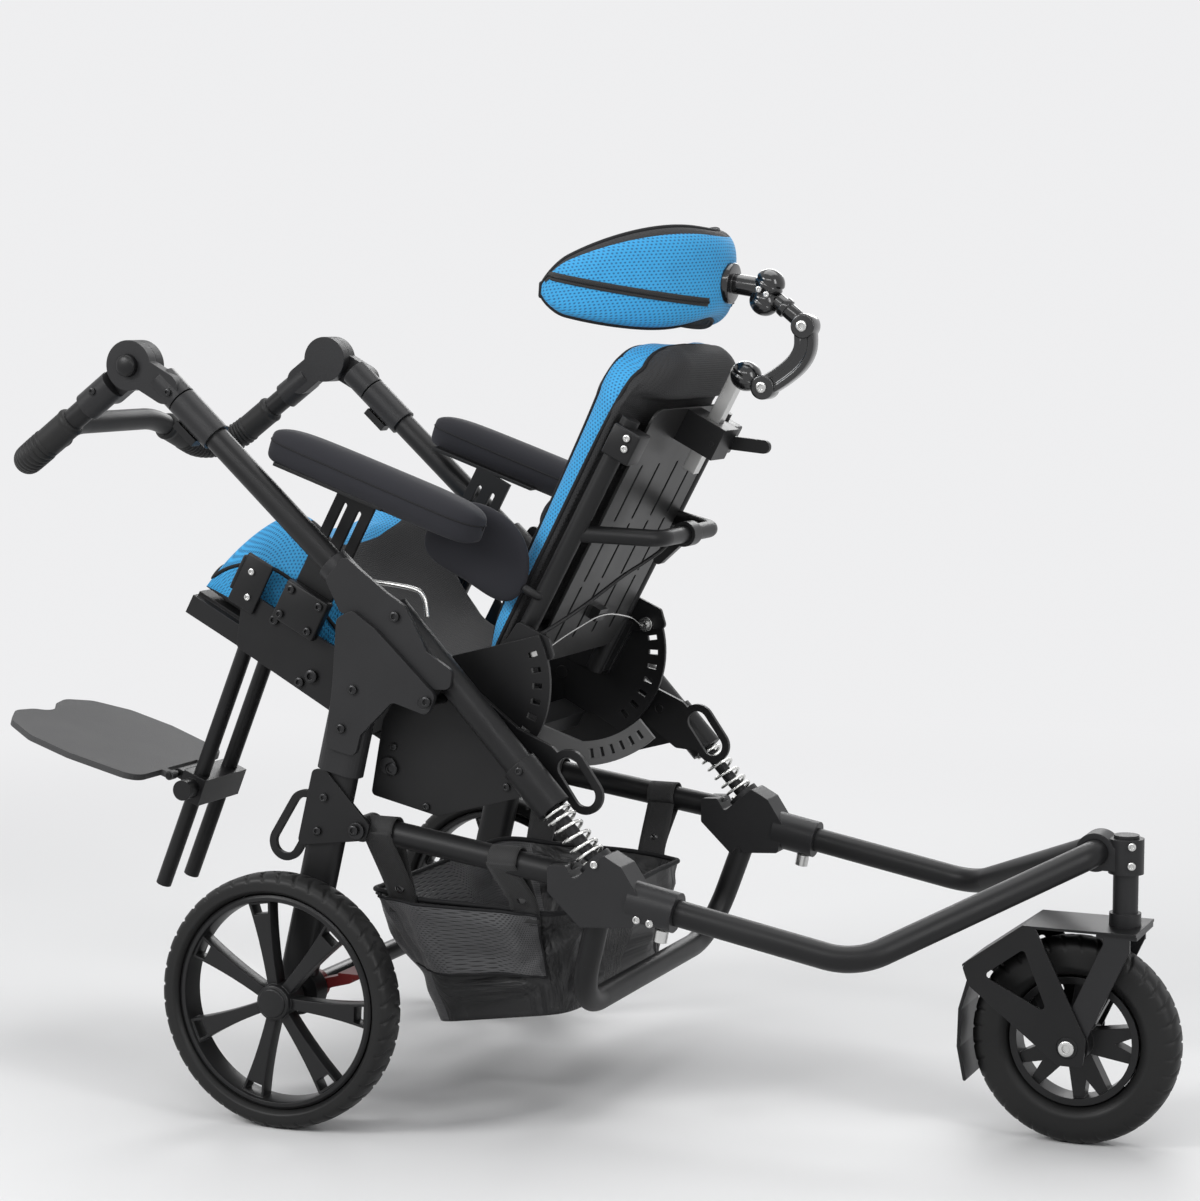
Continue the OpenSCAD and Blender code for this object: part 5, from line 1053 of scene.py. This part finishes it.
# Recline cables: a black sheathed cable from the release lever, and a bare steel wire drawn
# across the back between the two plungers.


def rounded_route(points, fine):
    """A smooth line through the points."""
    line = []
    for i in range(len(points) - 1):
        a, b = points[max(i - 1, 0)], points[i]
        c, d = points[i + 1], points[min(i + 2, len(points) - 1)]
        for k in range(fine):
            t = k / fine
            line.append(0.5 * (2 * b + (c - a) * t + (2 * a - 5 * b + 4 * c - d) * t * t
                               + (3 * b - a - 3 * c + d) * t ** 3))
    return line + [points[-1]]


cable_route = [(112.5, -18, 277.5), (110, -30, 262), (104, -48, 244), (96, -70, 224), (90, -94, 202),
               (84, -118, 180), (76, -140, 158), (68, -156, 140), (62, -164, 131), (60, -170, 128)]
line = rounded_route([seat_to_floor(p) for p in cable_route], 6)
sheath_d = 5 * mm
sheath = fit(tube_along(line, sheath_d / 2), "recline_cable", "back", "black_plastic", moulded_black)
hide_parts("back_cables")
half_wire = [(75, -163, 117), (75, -148, 117), (75, -128, 124), (75, -100, 133), (74, -60, 141),
             (72, -20, 146)]
wire_route = half_wire + [(x, -y, z) for x, y, z in reversed(half_wire)]
line = rounded_route([seat_to_floor(p) for p in wire_route], 4)
fit(tube_along(line, 1.0 * mm), "plunger_wire", "back", "steel", zinc_steel)

# Basket: a nylon bag with a mesh rear wall, sewn with a round hem at its rim. It hangs open under
# the seat, and its slack walls crease.
bag_rows, bag_round, floor_rows = 30, 176, 14
rim_x, rim_z, rim_half = -52, 262, (144, 192)
base_x, base_half, base_rear, base_rise = -23, (91, 152), (-112, 100), 28 / 178
wall_round, wall_drop = 1.15, 0.17


def boxed(turn, half, power):
    """A point on a rounded rectangle with these half widths."""
    return tuple(h * signed_power(way, 2 / power) for h, way in zip(half, (math.cos(turn), math.sin(turn))))


def bag_point(turn, drop):
    """A point of the bag at this turn round it, and this share of the way down."""
    top, low = boxed(turn, rim_half, 5.5), boxed(turn, base_half, 8)
    ease = drop ** 0.9
    x = (rim_x + top[0]) * (1 - ease) + (base_x + low[0]) * ease
    y = top[1] * (1 - ease) + low[1] * ease
    slack = 9 * math.sin(math.pi * drop) * (1 + 0.6 * noise.noise(Vector((x / 60, y / 60, 3))))
    held = math.sin(math.pi * min(1, drop * 1.1 + 0.02)) ** 0.6
    crease = 0.35 - abs(noise.noise(Vector((x / 46 + 2 * drop, y / 46, 2.2 * drop + 7))))
    fold = (13 * noise.noise(Vector((x / 44, y / 44, drop * 1.3))) + 17 * crease) * held
    out = Vector((top[0] / rim_half[0], top[1] / rim_half[1], 0)).normalized()
    hang = -9 * (0.5 - 0.5 * math.cos(3 * turn)) * (1 - drop) ** 3
    z = rim_z * (1 - drop) + (base_rear[1] + base_rise * (x - base_rear[0])) * drop + hang
    return (Vector((x, y, z)) + out * (fold - 0.4 * slack)) * mm


vertices, faces, cut_at = [], [], []
base_middle = Vector((base_x, 0, 110)) * mm
for i in range(bag_rows + floor_rows + 1):
    for k in range(bag_round):
        turn = 2 * math.pi * k / bag_round
        if i <= bag_rows:
            point = bag_point(turn, i / bag_rows)
            cut_at.append((wall_round * k / bag_round, wall_drop * i / bag_rows))
        else:
            inward = (i - bag_rows) / (floor_rows + 0.6)
            point = bag_point(turn, 1).lerp(base_middle, inward)
            point.z -= 6 * mm * inward * (1 + noise.noise(point * 22))
            cut_at.append((point.x, point.y))
        vertices.append(point)
for i in range(bag_rows + floor_rows):
    for k in range(bag_round):
        a, b = i * bag_round + k, i * bag_round + (k + 1) % bag_round
        faces.append((a, a + bag_round, b + bag_round, b))
last_ring = (bag_rows + floor_rows) * bag_round
faces.append(tuple(last_ring + k for k in range(bag_round))[::-1])
bag = meshed(vertices, faces)
cut_cloth(bag, cut_at)
rear_first, rear_last = bag_round * 29 // 100, bag_round * 71 // 100
for face in bag.data.polygons:
    wall = face.index < bag_rows * bag_round
    face.material_index = 1 if wall and rear_first <= face.index % bag_round < rear_last else 0
facing_out(bag)
thickened(bag, 1.4 * mm)
fit(bag, "basket_bag", "carriage", "black_cloth", black_nylon, bag_mesh)
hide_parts("basket")
rim_line = [bag_point(2 * math.pi * k / bag_round, 0.004) for k in range(bag_round)]
hem = fit(tube_along(rim_line, 3.2 * mm, closed=True), "basket_hem", "carriage", "black_cloth", binding)

# Basket straps: four webbing loops from the bag's rim over the lower tubes and back, each closed
# by a glossy snap button.
gloss_black = hard_finish("gloss_black", (0.006, 0.006, 0.0065), 0.18, coat=0.4, dust=0.0, shine=0.5)
strap_places, loop_radius = (-0.128, 0.030), 17 * mm
strap_columns, strap_grain, strap_step = 7, 6 * mm, 3 * mm
tube_rear, tube_front = Vector((-0.150, frame_y, 0.349)), Vector((0.112, frame_y, 0.311))
strap_spots = [(x, side) for x in strap_places for side in (-1, 1)]
straps, snaps = [], []
for x, side in strap_spots:
    tube = tube_rear.lerp(tube_front, (x - tube_rear.x) / (tube_front.x - tube_rear.x))
    route = [Vector((x, 0.190, 0.238)), Vector((x, 0.196, 0.262))]
    for k in range(15):
        turn = math.radians(215 - 16.5 * k)
        route.append(tube + Vector((0, math.cos(turn), math.sin(turn))) * loop_radius)
    route += [Vector((x, 0.201, 0.268)), Vector((x, 0.1945, 0.240))]
    vertices, cut_at = [], []
    for i, point in enumerate(stepped(rounded_route(route, 6), strap_step)):
        for k in range(strap_columns):
            across = k * strap_grain
            vertices.append((point.x + across - 3 * strap_grain, point.y * side, point.z))
            cut_at.append((across, i * strap_step))
    strap = meshed(vertices, grid_faces(len(vertices) // strap_columns, strap_columns))
    cut_cloth(strap, cut_at)
    straps.append(thickened(strap, 1.8 * mm))
straps = fit(joined(straps), "basket_straps", "carriage", "black_cloth", webbing)
for x, side in strap_spots:
    bpy.ops.mesh.primitive_uv_sphere_add(segments=24, ring_count=12, radius=6.5 * mm)
    snap = bpy.context.object
    snap.data.transform(Matrix.Translation((x, 0.2035 * side, 0.272)) @ Matrix.Diagonal((1, 0.5, 1, 1)))
    bpy.ops.object.shade_smooth()
    snaps.append(snap)
fit(joined(snaps), "basket_snaps", "carriage", "black_plastic", gloss_black)

# Basket pockets: a loose mesh panel sewn on each side of the bag, with binding along three of its
# edges.
pocket_rows, pocket_columns, pocket_width, pocket_height = 25, 33, 0.18, 0.09
pockets, pocket_edges = [], []
for first, last in ((0.655, 0.80), (0.345, 0.20)):
    grid, cut_at = [], []
    for i in range(pocket_rows):
        down = i / (pocket_rows - 1)
        for k in range(pocket_columns):
            share = k / (pocket_columns - 1)
            turn = 2 * math.pi * (first + (last - first) * share)
            point = bag_point(turn, 0.02 + (0.50 + 0.14 * share) * down)
            away = Vector((point.x - rim_x * mm, point.y, 0)).normalized()
            puff = 6.5 + 9 * math.sin(math.pi * share) * (1 - down ** 3)
            puff += 6 * noise.noise(Vector((9 * share, 3.5 * down, first)))
            grid.append(point + away * puff * mm)
            cut_at.append((pocket_width * share, pocket_height * down))
    pocket = meshed(grid, [(a, d, c, b) for a, b, c, d in grid_faces(pocket_rows, pocket_columns)])
    cut_cloth(pocket, cut_at)
    pockets.append(thickened(pocket, 1.2 * mm))
    foot_row = grid[-pocket_columns:]
    rim = grid[:pocket_columns] + grid[2 * pocket_columns - 1::pocket_columns] + foot_row[-2::-1]
    pocket_edges.append(tube_along(rim, 1.8 * mm))
pockets = fit(joined(pockets), "basket_pockets", "carriage", "black_cloth", bag_mesh)
pocket_edges = fit(joined(pocket_edges), "basket_pocket_binding", "carriage", "black_cloth", binding)

# Headrest joints: glossy ball clamps under the pad and on the post, each with a short collar and
# a knuckle on the link, held by bright socket screws.


def ball_clamp(lx, lz, radius):
    """A ball held between two clamp halves, with a groove round it where they meet."""
    bpy.ops.mesh.primitive_uv_sphere_add(segments=48, ring_count=32, radius=radius * mm)
    ball = bpy.context.object
    for vertex in ball.data.vertices:
        groove = 1 - 0.10 * bump_at(vertex.co.z / (radius * mm), 0, 0.09)
        vertex.co *= Vector((groove, groove, 0.92))
    ball.data.transform(Matrix.Translation(seat_to_floor((lx, 0, lz))) @ seat_turn)
    bpy.ops.object.shade_smooth()
    return ball


def seat_rod(start, end, radius, ease):
    """A turned rod between two points of the seat's frame, with sizes in mm."""
    return turned(seat_to_floor(start), seat_to_floor(end), radius * mm, ease * mm)


mount = [seat_rod((20, 0, 571), (33, 0, 576), 24, 2), seat_rod((30, 0, 575), (68, 0, 588), 12, 2),
         ball_clamp(72, 597, 18), ball_clamp(76, 575, 18)]
mount = fit(joined(mount), "head_mount", "head", "black_plastic", gloss_black)
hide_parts("head_bracket")
fit(ball_clamp(97, 488, 19), "head_ball_lower", "head_stem", "black_plastic", gloss_black)
link_foot, link_top, knuckle_half = (124, 488), (134, 574), 13
link_route = [link_foot, (137, 510), (146, 532), (146, 552), link_top]
link_line = rounded_route([Vector((lx, 0, lz)) for lx, lz in link_route], 6)
bar_section = [(-12, -9), (-5, -9), (-4, -7.6), (4, -7.6), (5, -9), (12, -9), (12, 9), (-12, 9)]
corners = len(bar_section)
bar, bar_faces = [], []
for i, point in enumerate(link_line):
    way = (link_line[min(i + 1, len(link_line) - 1)] - link_line[max(i - 1, 0)]).normalized()
    flat = way.cross(Vector((0, 1, 0)))
    for across, y in bar_section:
        bar.append(seat_to_floor(point + flat * across + Vector((0, y, 0))))
for i in range(len(link_line) - 1):
    for k in range(corners):
        a, b = i * corners + k, i * corners + (k + 1) % corners
        bar_faces.append((a, b, b + corners, a + corners))
bar_faces += [tuple(range(corners - 1, -1, -1)), tuple(range(len(bar) - corners, len(bar)))]
link = meshed(bar, bar_faces)
facing_out(link)
knuckles = [eased_edges(link, 1.2 * mm)]
for lx, lz in (link_foot, link_top):
    knuckles.append(seat_rod((lx, -knuckle_half, lz), (lx, knuckle_half, lz), 14.5, 2))
knuckles.append(seat_rod((88, 0, 584), (126, 0, 576), 9.5, 1.5))
knuckles.append(seat_rod((98, 0, 582), (106, 0, 580), 12, 1.5))
link = fit(joined(knuckles), "head_link_arm", "head_arm", "black_plastic", gloss_black)
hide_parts("head_link")

# Screws: turned socket heads, bright on the front nodes, stem, toe brackets, back clamps and
# headrest, and black elsewhere. One head is made with its socket, and copied onto the surface at
# each place.
bpy.ops.mesh.primitive_cylinder_add(vertices=24, radius=1, depth=0.6, location=(0, 0, 0.3))
screw_head = bpy.context.object
bpy.ops.object.transform_apply(location=True)
only(screw_head)
bpy.ops.object.mode_set(mode="EDIT")
bpy.ops.mesh.select_mode(type="FACE")
bpy.ops.mesh.select_all(action="DESELECT")
bpy.ops.object.mode_set(mode="OBJECT")
for face in screw_head.data.polygons:
    face.select = face.normal.z > 0.9
bpy.ops.object.mode_set(mode="EDIT")
bpy.ops.mesh.inset(thickness=0.26, depth=0.14)
bpy.ops.mesh.inset(thickness=0.22, depth=0)
bpy.ops.mesh.extrude_region_move(TRANSFORM_OT_translate={"value": (0, 0, -0.45)})
bpy.ops.object.mode_set(mode="OBJECT")
bpy.ops.object.shade_smooth_by_angle(angle=math.radians(35))


def screws(name, body, slot, finish, places):
    """One piece of screw heads, each at a place, with its way out and its radius in mm."""
    heads = []
    for place, way, radius in places:
        head = screw_head.copy()
        head.data = screw_head.data.copy()
        turn = way.to_track_quat("Z", "X").to_matrix().to_4x4()
        head.data.transform(Matrix.Translation(place) @ turn @ Matrix.Scale(radius * mm, 4))
        scene.collection.objects.link(head)
        heads.append(head)
    fit(joined(heads), name, body, slot, finish)


def on_sides(spots):
    """Places on the left and right faces of CAD solids, from (solid, x, z, radius) in mm."""
    places = []
    for solid, x, z, radius in spots:
        for side in (-1, 1):
            way = Vector((0, side, 0))
            start = Vector((x * mm, 0.6 * side, z * mm))
            hit, place, normal, index = nodes[solid].ray_cast(start, -way)
            places.append((place, way, radius))
    return places


screws("chassis_screws", "chassis", "steel", oxide_steel, on_sides([
    ("joint_covers", -151, 514, 5.5), ("joint_covers", -167, 468, 5.5), ("seat_carrier", -84, 374, 4.5),
    ("seat_carrier", 19, 404, 4.5), ("seat_carrier", -126, 442, 4.5), ("front_tubes", 54, 431, 4.5),
    ("rear_brackets", -193, 385, 5), ("rear_brackets", -202, 345, 5), ("axle_and_bolts", -152, 350, 6),
    ("axle_and_bolts", -100, 600, 6), ("axle_and_bolts", -57, 505, 6), ("seat_carrier", -128, 416, 8)]))
screws("carriage_screws", "carriage", "steel", zinc_steel, on_sides([
    ("front_nodes", 146, 331, 4.5), ("front_nodes", 196, 272, 4.5), ("front_nodes", 212, 269, 4.5)]))
screws("handle_screws", "handle", "steel", oxide_steel, on_sides([("handle_joints", -505, 852, 4.5)]))
screws("pusher_screws", "pusher", "steel", oxide_steel, on_sides([("pusher_fittings", -400, 852, 4.5)]))
axle_nuts = [(Vector((front_axle[0], 47 * mm * side, front_axle[1])), Vector((0, side, 0)), 9)
             for side in (-1, 1)]
screws("stem_screws", "steering", "steel", zinc_steel, axle_nuts)
stem_bolts = [(Vector((698, -20, z)) * mm, Vector((0, -1, 0)), 4.5) for z in (328, 350)]
screws("clamp_screws", "carriage", "steel", zinc_steel, stem_bolts)


def seat_pairs(spots, y, radius):
    """Places on both sides of the seat's frame, this far out, from (x, z) in mm."""
    return [(seat_to_floor((lx, y * side, lz)), Vector((0, side, 0)), radius)
            for lx, lz in spots for side in (-1, 1)]


screws("head_screws", "head_arm", "steel", zinc_steel, seat_pairs((link_foot, link_top), knuckle_half, 6.5))
screws("head_mount_screws", "head", "steel", zinc_steel, seat_pairs(((68, 587), (79, 586)), 15, 3.6))

# Side plates: bent steel plates in powder coat that carry the seat between them. Their front is
# cut low, so that the cushion's roll shows above it.


def seat_block(middle, size):
    """A block of this size in mm, square to the seat, about a point of the seat's frame."""
    bpy.ops.mesh.primitive_cube_add(size=1)
    block = bpy.context.object
    block.data.transform(Matrix.Diagonal((*(length * mm for length in size), 1)))
    block.data.transform(Matrix.Translation(seat_to_floor(middle)) @ seat_turn)
    return block


plates = bpy.data.objects.new("piece", nodes["side_plates"].data.copy())
plates.data.materials.clear()
scene.collection.objects.link(plates)
only(plates)
bpy.ops.object.mode_set(mode="EDIT")
bpy.ops.mesh.select_all(action="SELECT")
bpy.ops.mesh.remove_doubles(threshold=0.005 * mm)
bpy.ops.object.mode_set(mode="OBJECT")
low_cut = seat_block((-223.5, 0, 77), (195, 500, 170))
trim = plates.modifiers.new("trim", "BOOLEAN")
trim.operation = "DIFFERENCE"
trim.object = low_cut
only(plates)
bpy.ops.object.modifier_apply(modifier="trim")
bpy.data.objects.remove(low_cut)
bpy.ops.object.shade_smooth_by_angle(angle=math.radians(30))
plates = fit(plates, "side_plates_cut", "seat", "black_metal", powder_black)
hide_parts("side_plates")

# Seat brackets: a receiver block with four screws at each armrest post, a folded toe bracket in
# front of it, and three screws by the tilt slot.
block_spots = [((-203, 195, 15), (62, 14, 52), 3), ((-283, 184, 4), (38, 5, 66), 2.2),
               ((-304, 178, 8), (5, 16, 46), 2)]
blocks = []
for side in (-1, 1):
    for (lx, y, lz), size, ease in block_spots:
        blocks.append(eased_edges(seat_block((lx, y * side, lz), size), ease * mm, 3))
fit(joined(blocks), "seat_brackets", "seat", "black_metal", powder_black)
block_screws = seat_pairs(((-224, 32), (-182, 32), (-224, -2), (-182, -2)), 202, 5)
slot_screws = seat_pairs(((-161, -54),), 181, 8) + seat_pairs(((-172, -69), (-236, -20)), 181, 6)
screws("seat_screws", "seat", "steel", oxide_steel, block_screws + slot_screws)
screws("toe_screws", "seat", "steel", zinc_steel, seat_pairs(((-287, 18), (-278, -12)), 186.5, 4))

# Back clamps: a moulded black block on each back tube that holds the cover's shell, with two
# bright screws.
blocks = [eased_edges(seat_block((53, 151 * side, 380), (36, 34, 38)), 2.5 * mm, 3) for side in (-1, 1)]
fit(joined(blocks), "back_clamps", "back", "black_plastic", moulded_black)
screws("back_screws", "back", "steel", zinc_steel, seat_pairs(((57, 390), (60, 378)), 168, 4.2))
bpy.data.objects.remove(screw_head)

# Fold rods: a bent rod of bright steel wire on each side that links the folding joint's lock to
# the pusher.
rod_route = [(-164, 236, 636), (-150, 221, 634), (-100, 219, 628), (-86, 219, 618), (-82, 219, 596)]
rods = []
for side in (-1, 1):
    route = [Vector((x, y * side, z)) * mm for x, y, z in rod_route]
    rods.append(tube_along(rounded_route(route, 8), 3 * mm, rounds=4))
fit(joined(rods), "fold_rods", "pusher", "steel", zinc_steel)
